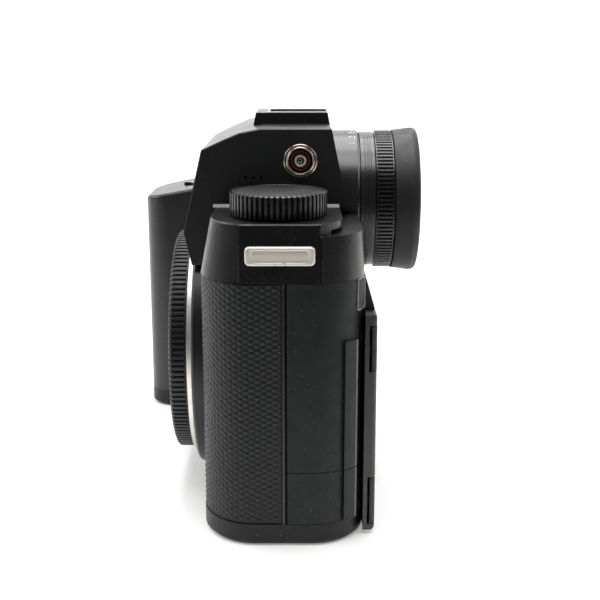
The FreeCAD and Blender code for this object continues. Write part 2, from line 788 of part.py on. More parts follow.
def make_top():
    """Top cover and prism housing."""
    whole = top_envelope()
    hollow = top_envelope(wall, wall)
    cover = whole.cut(hollow)
    facet = box((left_x - facet_in, left_x + 1), (facet_front_y, facet_rear_y), (shell_z - 1, shoulder_z + 1))
    lean = math.degrees(math.atan2(top_lean, shoulder_z - top_edge - shell_z))
    facet.rotate(V(left_x - facet_in, 0, shell_z), V(0, 1, 0), -lean)
    cover = cover.cut(facet)
    ledge = whole.common(box((ledge_end_x, left_x + 1), (0, rear_y + 1),
                             (shoulder_z - ledge_drop, shoulder_z + 1)))
    kept = box((ledge_end_x - 1, left_x - ledge_r), (-1, ledge_y), (shell_z, shoulder_z + 2))
    kept = kept.fuse(rod_z(left_x - ledge_r, ledge_y - ledge_r, (shell_z, shoulder_z + 2), ledge_r))
    step = ledge.cut(kept)
    cover = cover.cut(step)
    floor_under = whole.common(box((ledge_end_x, left_x + 1), (ledge_y - 2 * wall - ledge_r, rear_y + 1),
                                   (shoulder_z - ledge_drop - wall, shoulder_z - ledge_drop)))
    backing = kept.copy()
    backing.translate(V(-2 * wall, -2 * wall, 0))
    cover = cover.fuse(floor_under.cut(backing)).removeSplitter()

    hump_points = [hump_nose_foot, hump_nose, hump_brow, hump_slope_1, hump_slope_2, hump_roof_front,
                   hump_roof_rear, hump_rear_foot, (hump_rear_foot[0], shell_z), (front_y, hump_nose_foot[1])]
    hump = side_profile(hump_points, hump_half)
    outline = [e for e in hump.Edges
               if abs(e.Vertexes[0].X - e.Vertexes[-1].X) < near
               and min(v.Z for v in e.Vertexes) > hump_nose_foot[1] + 1
               and min(v.Z for v in e.Vertexes) != shell_z
               and max(v.Y for v in e.Vertexes) < hump_roof_rear[0] + near]
    hump = hump.makeChamfer(hump_bevel, outline)
    w = hump_wall
    inner_points = [(front_y + top_lean + w + 1, shell_z), (front_y + top_lean + w, shoulder_z),
                    (hump_brow[0] + w, hump_brow[1] - w), (hump_slope_1[0] + w / 2, hump_slope_1[1] - w),
                    (hump_roof_front[0], hump_roof_front[1] - w),
                    (hump_roof_rear[0] - w, hump_roof_rear[1] - w),
                    (hump_rear_foot[0] - w, shell_z)]
    hump = hump.cut(side_profile(inner_points, hump_half - w))
    lean = pedestal_taper / pedestal_high
    foot_z = roof_z - w
    pedestal = side_profile([(pedestal_front_y - w * lean, foot_z),
                             (pedestal_front_y + pedestal_taper, pedestal_z), (pedestal_rear_y, pedestal_z),
                             (pedestal_rear_y + (pedestal_high + w) * lean, foot_z)], shoe_half)
    recess_half = shoe_slot_half + shoe_wall
    recess = box((-recess_half, recess_half), (shoe_front_y, pedestal_rear_y + w),
                 (shoe_z - shoe_lip - shoe_slot - shoe_floor, shoe_z))
    hump = hump.fuse(pedestal).cut(recess).removeSplitter()
    hump = hump.cut(whole).cut(body_prism((band_z, shell_z)))
    hump = hump.cut(rod_y(0, lens_z, (-cap_r, 0), collar_r + seam_gap))
    eyepiece = rod_y(0, eye_z, (eye_start_y - seam_gap, cup_end_y), eye_barrel_r + seam_gap)
    hump = hump.cut(eyepiece)
    hump = hump.cut(rod_x(sync_y, sync_z, (hump_half - sync_depth - sync_back, hump_half + 1), sync_body_r))
    for step in (-1, 0, 1):
        hump = hump.cut(rod_x(hump_roof_front[0] - hole_before + step * hole_pitch, shoulder_z + hole_over,
                              (hump_half - 2 * w, hump_half + 1), hole_r))

    light_way = box((-hump_half + 2 * w, hump_half - 2 * w),
                    (front_y + top_lean + top_edge + w, eye_start_y + 1),
                    (shoulder_z - wall - 1, shoulder_z + 1))
    cover = cover.cut(light_way).cut(eyepiece)
    cover = cover.cut(rod_y(0, lens_z, (front_y - 1, chassis_front_y + seat_gap), collar_spigot_r + seat_gap))
    boss = rod_z(wheel_x, wheel_y, (wheel_foot_z + wheel_high + seat_gap, shoulder_z - wall), wheel_boss_r)
    cover = cover.fuse(boss)
    cover = cover.cut(rod_z(wheel_x, wheel_y, (wheel_foot_z - seat_gap, wheel_foot_z + wheel_high + seat_gap),
                            wheel_r + seat_gap))
    cover = cover.cut(rod_z(wheel_x, wheel_y, (shell_z, shoulder_z - wall), wheel_shaft_r + running))
    cover = cover.cut(rod_z(dial_x, dial_y, (shoulder_z - wall - 1, shoulder_z + 1), dial_shaft_r + running))
    cover = cover.cut(rod_y(lock_key_x, lock_key_z, (lock_key_in_y, rear_y + 1), lock_key_r + key_gap))
    cover = cover.cut(box(status_x, status_y, (shoulder_z - status_deep, shoulder_z + 1)))
    lugs = make_lugs()
    cover = cover.cut(lugs["strap_lug_left"]).cut(lugs["strap_lug_right"])
    top_pin = rod_z(*hinge_axis(), (shell_z - 1, shell_z + door_pin_seat), door_pin_r)
    cover = cover.cut(top_pin)
    return {"top_cover": cover.removeSplitter(), "prism_housing": hump}


def make_base():
    """Base plate, tripod socket and screws."""
    whole = body_prism((0, band_z)).fuse(grip_prism((0, band_z))).removeSplitter()
    foot = [e for e in whole.Edges if max(v.Z for v in e.Vertexes) < near]
    whole = whole.makeChamfer(base_edge, foot)
    tray = body_prism((floor, band_z + 1), wall + skin).fuse(grip_prism((floor, band_z + 1), wall + skin))
    whole = whole.cut(tray.removeSplitter())
    bosses = []
    screws = []
    for x, y in base_screw_places:
        bosses.append(rod_z(x, y, (floor, band_z), base_boss_r))
        head = rod_z(x, y, (base_screw_sunk, base_screw_sunk + screw_head), screw_head_r)
        shank = rod_z(x, y, (base_screw_sunk + screw_head, base_screw_top_z), screw_r)
        slot = box((x - screw_head_r, x + screw_head_r), (y - screw_r / 3, y + screw_r / 3),
                   (0, base_screw_sunk + screw_head / 2))
        screws.append(head.fuse(shank).removeSplitter().cut(slot))
    bosses.append(rod_z(0, 0, (floor, band_z), tripod_boss_r + wall))
    bosses.append(rod_z(0, pin_hole_y, (floor, band_z), pin_hole_r + wall))
    bosses.append(rod_z(latch_x, latch_y, (floor, band_z), latch_r + wall))
    plate = whole.fuse(bosses).removeSplitter()
    for x, y in base_screw_places:
        plate = plate.cut(rod_z(x, y, (-1, base_screw_sunk + screw_head), screw_head_r))
        plate = plate.cut(rod_z(x, y, (0, band_z + 1), screw_r))
    plate = plate.cut(rod_z(0, 0, (-1, tripod_plate), tripod_plate_r))
    plate = plate.cut(rod_z(0, 0, (0, band_z + 1), tripod_boss_r))
    plate = plate.cut(rod_z(0, pin_hole_y, (-1, floor + 1), pin_hole_r))
    plate = plate.cut(battery_space(battery_gap, (-1, band_z + 1)))
    plate = plate.cut(rod_z(latch_x, latch_y, (-1, latch_high + seat_gap), latch_r + key_gap))
    plate = plate.cut(rod_z(latch_x, latch_y, (0, band_z + 1), wheel_shaft_r + running))
    plate = plate.cut(rod_z(*hinge_axis(), (band_z - door_pin_seat, band_z + 1), door_pin_r))
    socket = rod_z(0, 0, (0, tripod_plate), tripod_plate_r)
    socket = socket.fuse(rod_z(0, 0, (0, tripod_top_z), tripod_boss_r))
    socket = socket.removeSplitter().cut(rod_z(0, 0, (-1, tripod_deep), tripod_r))
    return {"base_plate": plate, "tripod_socket": socket, "base_screws": Part.makeCompound(screws)}


def battery_space(gap, z):
    """The battery's section with a gap round it, two corners bevelled."""
    x0, x1 = battery_x[0] - gap, battery_x[1] + gap
    y0, y1 = battery_y[0] - gap, battery_y[1] + gap
    edge = battery_edge
    outline = [(x0 + edge, y0, min(z)), (x1 - edge, y0, min(z)), (x1, y0 + edge, min(z)),
               (x1, y1, min(z)), (x0, y1, min(z)), (x0, y0 + edge, min(z))]
    return polygon(outline).extrude(V(0, 0, max(z) - min(z)))


def make_battery():
    """Battery and its latch in the base."""
    battery = battery_space(0, (battery_foot_z, battery_top_z))
    latch = rod_z(latch_x, latch_y, (battery_foot_z, latch_high), latch_r)
    shaft = rod_z(latch_x, latch_y, (latch_high, band_z + 1), wheel_shaft_r)
    side = latch_r / 2
    for sign in (-1, 1):
        low = latch_grip / 2
        latch = latch.cut(box((latch_x - latch_r, latch_x + latch_r),
                              (latch_y + sign * low, latch_y + sign * (low + side)),
                              (0, battery_foot_z + latch_high / 2)))
    return {"battery": battery, "battery_latch": latch.fuse(shaft).removeSplitter()}


def make_chassis():
    """Cast frame with the battery bay and the card cage."""
    y = (chassis_front_y, chassis_front_y + chassis_thick)
    plate = box((chassis_right_x, left_x - corner_run), y, chassis_z)
    plate = plate.cut(rod_y(0, lens_z, (front_y, 0), tube_r + seat_gap))
    plate = plate.cut(rod_y(release_x, release_z, (front_y, 0), release_r + release_lip + wall))
    x, z = ring_place(lock_pin_angle, screw_ring_r)
    plate = plate.cut(rod_y(x, z, (front_y, 0), lock_pin_r + seat_gap))
    bay = battery_space(bay_wall, (band_z + seat_gap, bay_top_z))
    cage = box(card_cage_x, card_cage_y, card_cage_z)
    frame = plate.fuse([bay, cage]).removeSplitter()
    frame = frame.cut(battery_space(battery_gap, (0, battery_top_z + 1)))
    for place in (-0.5, 0.5):
        middle = sum(card_cage_y) / 2 + bay_wall / 2 + place * card_slot_pitch
        frame = frame.cut(box((card_cage_x[0] - 1, card_cage_x[0] + card_slot_deep),
                              (middle - card_slot_width / 2, middle + card_slot_width / 2), card_slot_z))
    return {"chassis": frame}


def make_mount():
    """Collar, bayonet ring, screws, contacts and lock pin."""
    collar = rod_y(0, lens_z, (collar_front_y, front_y), collar_r)
    collar = collar.fuse(rod_y(0, lens_z, (front_y, chassis_front_y), collar_spigot_r))
    collar = collar.fuse(rod_y(0, lens_z, (chassis_front_y, collar_end_y), tube_r)).removeSplitter()
    seat_y = flange_front_y + flange_depth
    collar = collar.cut(rod_y(0, lens_z, (collar_front_y - 1, seat_y), flange_r + seam_gap))
    collar = collar.cut(rod_y(0, lens_z, (collar_front_y - 1, 0), throat_r))
    outer_rim = [e for e in collar.Edges if e.Closed and abs(e.Vertexes[0].Y - collar_front_y) < near
                 and abs(e.Curve.Radius - collar_r) < near]
    collar = collar.makeChamfer(base_edge / 2, outer_rim)
    ring = tube_y(0, lens_z, (flange_front_y, seat_y), flange_r, throat_r)
    for n in range(lug_count):
        lug_y_span = (seat_y - lug_deep, seat_y)
        ring = ring.fuse(ring_sector(slot_angle(n), lug_angle, lug_y_span, throat_r + 1, lug_r))
    ring = ring.removeSplitter()
    screws = []
    for n in range(mount_screw_count):
        x, z = ring_place(first_screw_angle + n * 360 / mount_screw_count, screw_ring_r)
        head = rod_y(x, z, (flange_front_y + seam_gap, flange_front_y + seam_gap + screw_head), screw_head_r)
        shank = rod_y(x, z, (flange_front_y + seam_gap, flange_front_y + mount_screw_length), screw_r)
        for piece in (head, shank):
            ring = ring.cut(piece)
            collar = collar.cut(piece)
        ring = ring.cut(rod_y(x, z, (flange_front_y - 1, flange_front_y + seam_gap), screw_head_r))
        screws.append(head.fuse(shank).removeSplitter())
    x, z = ring_place(lock_pin_angle, screw_ring_r)
    bore = rod_y(x, z, (flange_front_y - 1, 0), lock_pin_r + running)
    pin = rod_y(x, z, (flange_front_y - lock_stand, chassis_front_y), lock_pin_r)
    base_y = seat_y + seam_gap
    contacts = ring_sector(contact_middle_angle, contact_angle, (base_y, base_y + contact_depth),
                           throat_r, throat_r - contact_width)
    pitch = contact_angle / (contact_count + 1)
    for n in range(contact_count):
        place = contact_middle_angle - contact_angle / 2 + pitch * (n + 1)
        x, z = ring_place(place, throat_r - contact_width / 2)
        contacts = contacts.fuse(rod_y(x, z, (base_y - contact_stand, seat_y + 1), contact_pin_r))
    return {"mount_collar": collar.cut(bore), "lens_mount_ring": ring.cut(bore),
            "mount_screws": Part.makeCompound(screws), "mount_contacts": contacts.removeSplitter(),
            "lens_lock_pin": pin}


def make_cap():
    """Body cap: disc, boss and three lugs that lie between the mount's lugs."""
    back_y = flange_front_y - cap_gap
    disc = rod_y(0, lens_z, (cap_front_y, back_y), cap_r)
    rim = [e for e in disc.Edges if e.Closed and abs(e.Vertexes[0].Y - cap_front_y) < near]
    disc = disc.makeChamfer(cap_edge, rim)
    disc = disc.fuse(rod_y(0, lens_z, (back_y, back_y + cap_boss), cap_boss_r))
    for n in range(lug_count):
        middle = slot_angle(n) + 180 / lug_count
        disc = disc.fuse(ring_sector(middle, cap_lug_angle, (back_y + cap_boss - cap_lug, back_y + cap_boss),
                                     cap_lug_r, cap_boss_r - 1))
    disc = disc.removeSplitter()
    disc = disc.cut(rod_y(0, lens_z, (back_y + cap_boss - cap_recess, back_y + cap_boss + 1), cap_recess_r))
    x, z = ring_place(lock_pin_angle, screw_ring_r)
    disc = disc.cut(rod_y(x, z, (back_y - lock_stand - seat_gap, back_y + 1), lock_pin_r + seat_gap))
    return {"body_cap": disc}


def make_front_button():
    """Lens release button with its retaining lip behind the casing."""
    inner_y = front_y + skin + wall
    button = rod_y(release_x, release_z, (front_y - release_stand, inner_y + seat_gap), release_r)
    lip = rod_y(release_x, release_z, (inner_y + seam_gap, inner_y + seam_gap + release_lip),
                release_r + release_lip)
    rim = [e for e in button.Edges if e.Closed and abs(e.Vertexes[0].Y - front_y + release_stand) < near]
    return {"lens_release_button": button.makeFillet(release_lip / 2, rim).fuse(lip).removeSplitter()}


def make_shoe():
    """Accessory shoe and its contacts."""
    half = shoe_slot_half + shoe_wall
    foot_z = shoe_z - shoe_lip - shoe_slot - shoe_floor
    y = (shoe_front_y, pedestal_rear_y - seam_gap)
    shoe = box((-half, half), y, (foot_z, shoe_z))
    shoe = shoe.cut(box((-shoe_slot_half, shoe_slot_half), (y[0] + shoe_wall, y[1] + 1),
                        (foot_z + shoe_floor, foot_z + shoe_floor + shoe_slot)))
    shoe = shoe.cut(box((-shoe_lip_half, shoe_lip_half), (y[0] + shoe_wall, y[1] + 1),
                        (foot_z + shoe_floor, shoe_z + 1)))
    middle = sum(y) / 2
    places = [(0.0, middle)]
    places += [(side * shoe_contact_pitch, middle + step * shoe_contact_pitch)
               for side in (-1, 1) for step in (0, 1)]
    top = foot_z + shoe_floor
    contacts = [rod_z(x, y_at, (foot_z, top + shoe_contact_stand), shoe_contact_r) for x, y_at in places]
    for contact in contacts:
        shoe = shoe.cut(contact)
    return {"hot_shoe": shoe, "shoe_contacts": Part.makeCompound(contacts)}


def make_sync():
    """Flash sync socket: outer ring and a centre tube with a hollow pin."""
    x_in = hump_half - sync_depth - sync_back
    socket = rod_x(sync_y, sync_z, (hump_half, hump_half + sync_stand), sync_r)
    socket = socket.fuse(rod_x(sync_y, sync_z, (x_in, hump_half), sync_body_r)).removeSplitter()
    rim = [e for e in socket.Edges if e.Closed and abs(e.Vertexes[0].X - hump_half - sync_stand) < near]
    socket = socket.makeFillet(sync_stand / 2, rim)
    well = rod_x(sync_y, sync_z, (hump_half - sync_depth + sync_stand, hump_half + 2), sync_well_r)
    socket = socket.cut(well)
    core = rod_x(sync_y, sync_z, (x_in + 1, hump_half + sync_stand / 2), sync_tube_r)
    core = core.cut(rod_x(sync_y, sync_z, (hump_half - sync_depth + sync_stand, hump_half + 2), sync_pin_r))
    return {"sync_socket": Part.makeCompound([socket.cut(core), core])}


def revolved_y(points, axis_z):
    """A solid of revolution about an axis along Y, from radius, Y points."""
    face = polygon([(0, y, axis_z + r) for r, y in points])
    return face.revolve(V(0, 0, axis_z), V(0, 1, 0), 360)


def make_eyepiece():
    """Barrel, dioptre ring, sliding ocular cell with its lens, and eyecup."""
    barrel = revolved_y([(eye_bore_r, eye_start_y), (eye_barrel_r, eye_start_y), (eye_barrel_r, eye_barrel_y),
                         (eye_ring_r - 1, eye_barrel_y), (eye_ring_r - 1, eye_barrel_y + seat_gap),
                         (eye_ring_r, eye_barrel_y + seat_gap), (eye_ring_r, eye_ring_y),
                         (eye_sleeve_r, eye_ring_y), (eye_sleeve_r, eye_sleeve_y),
                         (eye_bore_r, eye_sleeve_y)], eye_z)
    ring = tube_y(0, eye_z, (eye_ring_y + dioptre_gap, dioptre_y), dioptre_r, eye_sleeve_r + running)
    cup_y = dioptre_y + dioptre_gap
    cup = revolved_y([(eye_sleeve_r, cup_y), (cup_front_r, cup_y), (cup_rear_r, cup_end_y - cup_edge_r),
                      (cup_rear_r - cup_edge_r, cup_end_y), (cup_mouth_r, cup_end_y),
                      (cup_lip_r, eye_sleeve_y + cup_lip), (cup_lip_r, eye_sleeve_y),
                      (eye_sleeve_r, eye_sleeve_y)], eye_z)
    cell_r = eye_bore_r - running
    cell = tube_y(0, eye_z, (cell_front_y, cell_rear_y), cell_r, cell_r - cell_wall)
    lens_r = cell_r - cell_wall
    lens_rear_y = ocular_front_y + ocular_crown * 2 + ocular_edge
    edge_front, edge_rear = ocular_front_y + ocular_crown, lens_rear_y - ocular_crown
    outline = Part.Wire([
        Part.LineSegment(V(0, ocular_front_y, eye_z), V(0, lens_rear_y, eye_z)).toShape(),
        crown_arc(lens_r, lens_rear_y, edge_rear),
        Part.LineSegment(V(0, edge_rear, eye_z + lens_r), V(0, edge_front, eye_z + lens_r)).toShape(),
        crown_arc(lens_r, ocular_front_y, edge_front)])
    lens = Part.Face(outline).revolve(V(0, 0, eye_z), V(0, 1, 0), 360)
    return {"eyepiece_barrel": barrel, "dioptre_ring": ring, "eyecup": cup, "ocular_cell": cell,
            "ocular_lens": lens}


def crown_arc(r, pole_y, edge_y):
    """Arc of a lens face from its pole on the axis to its edge."""
    sag = edge_y - pole_y
    big = (r ** 2 + sag ** 2) / (2 * abs(sag))
    half = math.asin(r / big) / 2
    sign = 1 if sag > 0 else -1
    middle = V(0, pole_y + sign * big * (1 - math.cos(half)), eye_z + big * math.sin(half))
    return Part.Arc(V(0, pole_y, eye_z), middle, V(0, edge_y, eye_z + r)).toShape()


def make_controls():
    """Speed dial, release, main switch, thumb wheel, lock key and status display."""
    dial = fluted_disc(dial_x, dial_y, (dial_foot_z, dial_top_z), dial_r, dial_flutes, dial_flute_r)
    dial = dial.cut(rod_z(dial_x, dial_y, (dial_top_z - dial_dish, dial_top_z + 1), dial_dish_r))
    dial = dial.fuse(rod_z(dial_x, dial_y, (dial_shaft_foot_z, dial_foot_z + 1), dial_shaft_r))
    release = rod_z(trigger_x, trigger_y, (pad_z + trigger_travel + seat_gap, trigger_top_z), trigger_r)
    rim = [e for e in release.Edges if e.Closed and abs(e.Vertexes[0].Z - trigger_top_z) < near]
    release = release.makeFillet(trigger_travel, rim)
    stem_z = (pad_z - trigger_stem, trigger_top_z - 1)
    release = release.fuse(rod_z(trigger_x, trigger_y, stem_z, trigger_stem_r))
    lever = rod_z(trigger_x, trigger_y, (pad_z + seam_gap, lever_z), lever_r)
    tab = box((trigger_x - lever_tab_width / 2, trigger_x + lever_tab_width / 2),
              (trigger_y - lever_r - lever_tab, trigger_y), (pad_z + seam_gap, lever_z))
    lever = lever.fuse(tab).removeSplitter()
    lever = lever.cut(rod_z(trigger_x, trigger_y, (pad_z - 1, lever_z + 1), trigger_r + running))
    wheel_z = (wheel_foot_z, wheel_foot_z + wheel_high)
    wheel = fluted_disc(wheel_x, wheel_y, wheel_z, wheel_r, wheel_flutes, wheel_flute_r)
    wheel = wheel.fuse(rod_z(wheel_x, wheel_y, (shell_z, shoulder_z - wall - seam_gap), wheel_shaft_r))
    key = rod_y(lock_key_x, lock_key_z, (lock_key_in_y, lock_key_out_y), lock_key_r)
    key = key.fuse(rod_y(lock_key_x, lock_key_z, (lock_key_in_y - lock_key_lip, lock_key_in_y),
                         lock_key_r + lock_key_lip))
    status = box((status_x[0] + seam_gap, status_x[1] - seam_gap),
                 (status_y[0] + seam_gap, status_y[1] - seam_gap),
                 (shoulder_z - status_deep, shoulder_z - seam_gap))
    return {"speed_dial": dial.removeSplitter(), "shutter_release": release.removeSplitter(),
            "main_switch": lever, "thumb_wheel": wheel.removeSplitter(), "lock_key": key.removeSplitter(),
            "status_display": status}


def make_display():
    """Rear display housing, its glass and the four long keys at its corners."""
    slab = box((-display_half, display_half), (rear_y, display_rear_y), display_z)
    rear_edges = [e for e in slab.Edges if min(v.Y for v in e.Vertexes) > display_rear_y - near]
    slab = slab.makeFillet(display_edge, rear_edges)
    slab = slab.cut(box((-screen_half, screen_half), (display_rear_y - screen_deep, display_rear_y + 1),
                        screen_z))
    pieces = {"display_glass": box((-screen_half + seam_gap, screen_half - seam_gap),
                                   (display_rear_y - screen_deep, display_rear_y - seam_gap),
                                   (screen_z[0] + seam_gap, screen_z[1] - seam_gap))}
    for level, z in (("upper", key_upper_z), ("lower", key_lower_z)):
        for side, sign in (("left", 1), ("right", -1)):
            x = (sign * (display_half - key_width), sign * (display_half + 1))
            room = box(x, (display_rear_y - key_deep - key_travel - key_slack, display_rear_y + 1),
                       (z[0] - key_slack, z[1] + key_slack))
            outer = slab.copy()
            key = outer.common(box((x[0] + sign * key_slack, x[1]),
                                   (display_rear_y - key_deep, display_rear_y + 1), z))
            stem_x = sign * (display_half - key_width / 2)
            stem = rod_y(stem_x, sum(z) / 2,
                         (rear_y + key_slack + key_travel, display_rear_y - key_deep + seam_gap), key_deep)
            guide = rod_y(stem_x, sum(z) / 2, (rear_y + key_slack, display_rear_y), key_deep + running)
            pieces["menu_key_" + level + "_" + side] = key.fuse(stem).removeSplitter()
            slab = slab.cut(room).cut(guide)
    pieces["display_housing"] = slab
    return pieces


def make_doors():
    """Port doors with their pin, the panel behind them and its sockets."""
    x, y = hinge_axis()
    pieces = {}
    proud = body_band((ridge_z[0], ridge_z[1]), -ridge_proud, 0).common(
        box((door_end_x, left_x + 2), ridge_y, ridge_z))
    for name, z in (("port_door_upper", (door_split_z + door_gap, shell_z - door_gap)),
                    ("port_door_lower", (band_z + door_gap, door_split_z - door_gap))):
        door = body_band(z, 0, door_thick).common(box((door_end_x, left_x + 1), (y, rear_y + 1), z))
        door = door.fuse(rod_z(x, y, z, knuckle_r))
        door = door.fuse(proud.common(box((door_end_x - 1, left_x + 3), (0, rear_y + 3), z)))
        door = door.removeSplitter().cut(rod_z(x, y, (z[0] - 1, z[1] + 1), door_pin_r + running))
        pieces[name] = door
    pieces["door_hinge_pin"] = rod_z(x, y, (band_z - door_pin_seat, shell_z + door_pin_seat), door_pin_r)
    z = (band_z + seam_gap, shell_z - seam_gap)
    panel = body_band(z, wall, wall + panel_thick).common(
        box((panel_end_x, left_x + 1), (seam_y + seam_gap, rear_y + 1), z))
    panel = panel.cut(rod_z(x, y, (0, shell_z + 1), knuckle_r + seat_gap))
    face_x = left_x - wall
    sockets = []
    for middle, high, wide in ports:
        shell = box((face_x - port_deep, face_x), (port_y - wide / 2, port_y + wide / 2),
                    (middle - high / 2, middle + high / 2))
        panel = panel.cut(shell)
        sockets.append(shell.cut(box((face_x - port_hole, face_x + 1),
                                     (port_y - wide / 2 + port_wall, port_y + wide / 2 - port_wall),
                                     (middle - high / 2 + port_wall, middle + high / 2 - port_wall))))
    for middle in jack_heights:
        shell = rod_x(port_y, middle, (face_x - port_deep, face_x), jack_r)
        panel = panel.cut(shell)
        sockets.append(shell.cut(rod_x(port_y, middle, (face_x - port_hole, face_x + 1), jack_hole_r)))
    pieces["port_panel"] = panel
    pieces["port_sockets"] = Part.makeCompound(sockets)
    return pieces


def make_card_door():
    x, y = card_hinge()
    door = body_band(card_door_z, 0, card_door_thick).common(
        box((right_x - 1, right_x + wall), (y, card_door_y[1]), card_door_z))
    door = door.fuse(rod_z(x, y, card_door_z, knuckle_r))
    pin_z = (card_door_z[0] - door_pin_seat, card_door_z[1] + door_pin_seat)
    door = door.fuse(rod_z(x, y, pin_z, door_pin_r))
    return {"card_door": door.removeSplitter()}


def tilted(shape):
    """A piece drawn along -Y from the mirror's hinge line, turned down by its tilt."""
    turned = shape.copy()
    turned.rotate(V(0, mirror_hinge_y, mirror_hinge_z), V(1, 0, 0), mirror_tilt)
    return turned


def make_mirror():
    """Reflex mirror in its frame, the sub-mirror behind it and the mirror box."""
    y = (mirror_hinge_y - mirror_long, mirror_hinge_y)
    back = (mirror_hinge_z - mirror_frame / 2, mirror_hinge_z + mirror_frame / 2)
    frame = box((-mirror_half, mirror_half), y, back)
    frame = frame.fuse(rod_x(mirror_hinge_y, mirror_hinge_z,
                             (-box_half + box_wall - 1.0, box_half - box_wall + 1.0), mirror_axle_r))
    glass_y = (y[0] + mirror_rim, y[1] - mirror_rim * 2)
    glass = box((-mirror_half + mirror_rim, mirror_half - mirror_rim), glass_y,
                (back[1], back[1] + mirror_glass))
    rim = box((-mirror_half, mirror_half), (y[0], y[1] - mirror_rim), (back[1], back[1] + mirror_glass))
    frame = frame.fuse(rim.cut(glass)).removeSplitter()
    sub_y = mirror_hinge_y - sub_at
    top = back[0] - sub_gap
    sub = box((-sub_half, sub_half), (sub_y - sub_thick / 2, sub_y + sub_thick / 2), (top - sub_long, top))

    z = box_z
    inner = box_half - box_wall
    shell = box((-box_half, box_half), (collar_end_y, box_rear_y), z)
    shell = shell.cut(box((-inner, inner), (collar_end_y - 1, box_rear_y + 1),
                          (z[0] + box_wall, z[1] - box_wall)))
    shell = shell.cut(box((-window_half, window_half), window_y, (z[1] - box_wall - 1, z[1] + 1)))
    shell = shell.cut(rod_x(mirror_hinge_y, mirror_hinge_z, (-box_half + 1, box_half - 1),
                            mirror_axle_r + running))
    screen = box((-window_half - 1, window_half + 1), (window_y[0] - 1, window_y[1] + 1),
                 (z[1], z[1] + screen_glass))
    foot = z[1] + screen_glass + prism_gap
    prism = side_profile([(window_y[0] - 1, foot), (prism_front_y, prism_front_z[0]),
                          (prism_front_y, prism_front_z[1]), prism_crest, (prism_rear_y, prism_rear_z),
                          (prism_rear_y, foot)], prism_half)
    high = prism_crest[1]
    for sign in (-1, 1):
        side_x = sign * (prism_half + seam_gap)
        wedge = polygon([(sign * roof_lean, prism_front_y - 1, high + seam_gap),
                         (side_x, prism_front_y - 1, high + seam_gap),
                         (side_x, prism_front_y - 1, high - prism_half)])
        prism = prism.cut(wedge.extrude(V(0, prism_rear_y - prism_front_y + 2, 0)))
    return {"mirror_frame": tilted(frame), "mirror_glass": tilted(glass), "sub_mirror": tilted(sub),
            "mirror_box": shell, "focusing_screen": screen, "pentaprism": prism}


def make_shutter():
    """Focal plane shutter, sensor and main board."""
    frame = box((-shutter_half, shutter_half), shutter_y, shutter_z)
    frame = frame.cut(box((-gate_half, gate_half), (shutter_y[0] - 1, shutter_y[1] + 1), gate_z))
    frame = frame.cut(box((-blade_room_half, blade_room_half), blade_room_y, blade_room_z))
    upper = box((-blade_half, blade_half), (upper_blade_y, upper_blade_y + blade), upper_blade_z)
    lower = box((-blade_half, blade_half), (lower_blade_y, lower_blade_y + blade), lower_blade_z)
    sensor = box((-sensor_half, sensor_half), sensor_y, sensor_z)
    board = box((-board_half, board_half), board_y, board_z)
    return {"shutter_frame": frame, "shutter_blade_upper": upper, "shutter_blade_lower": lower,
            "sensor_unit": sensor, "main_board": board}


def main():
    leather = make_leather()
    pieces = dict(leather)
    pieces.update(make_casings(leather))
    for maker in (make_top, make_base, make_battery, make_chassis, make_mount, make_cap, make_front_button,
                  make_lugs, make_shoe, make_sync, make_eyepiece, make_controls, make_display, make_doors,
                  make_card_door, make_mirror, make_shutter):
        pieces.update(maker())
    os.makedirs("parts", exist_ok=True)
    for name, shape in sorted(pieces.items()):
        shape.exportStep("parts/" + name + ".step")
        solids = shape.Solids
        print(name, len(solids), round(sum(s.Volume for s in solids), 1), shape.isValid())
    print(len(pieces), "nodes")


main()
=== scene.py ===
"""Looks of the camera body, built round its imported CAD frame. Lengths are in mm until they become a mesh."""
import json
import math

import bmesh
import bpy
import numpy as np
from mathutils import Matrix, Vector


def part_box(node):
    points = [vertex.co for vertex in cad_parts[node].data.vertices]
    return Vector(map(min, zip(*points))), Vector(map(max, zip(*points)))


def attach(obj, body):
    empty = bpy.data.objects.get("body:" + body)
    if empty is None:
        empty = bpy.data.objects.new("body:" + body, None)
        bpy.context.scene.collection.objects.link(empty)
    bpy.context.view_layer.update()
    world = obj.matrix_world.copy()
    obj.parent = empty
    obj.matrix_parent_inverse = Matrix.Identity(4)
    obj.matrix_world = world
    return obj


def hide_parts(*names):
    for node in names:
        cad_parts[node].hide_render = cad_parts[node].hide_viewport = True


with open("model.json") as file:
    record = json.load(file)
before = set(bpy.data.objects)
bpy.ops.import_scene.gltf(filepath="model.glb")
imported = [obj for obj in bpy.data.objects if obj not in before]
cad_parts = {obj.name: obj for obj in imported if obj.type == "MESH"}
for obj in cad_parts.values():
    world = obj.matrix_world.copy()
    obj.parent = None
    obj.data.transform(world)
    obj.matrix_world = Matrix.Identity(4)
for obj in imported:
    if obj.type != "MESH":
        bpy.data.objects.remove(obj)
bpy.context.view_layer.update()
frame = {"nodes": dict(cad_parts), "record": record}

MM = 0.001
nodes = frame["nodes"]
boxes = {name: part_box(name) for name in nodes}


def span(node, axis):
    """The lowest and highest place of a CAD node along an axis, in mm."""
    n = "xyz".index(axis)
    return [round(corner[n] / MM, 2) for corner in boxes[node]]


def centre(node, axis):
    """The middle of a CAD node along an axis, to a tenth of a mm."""
    return round(sum(span(node, axis)) / 2, 1)


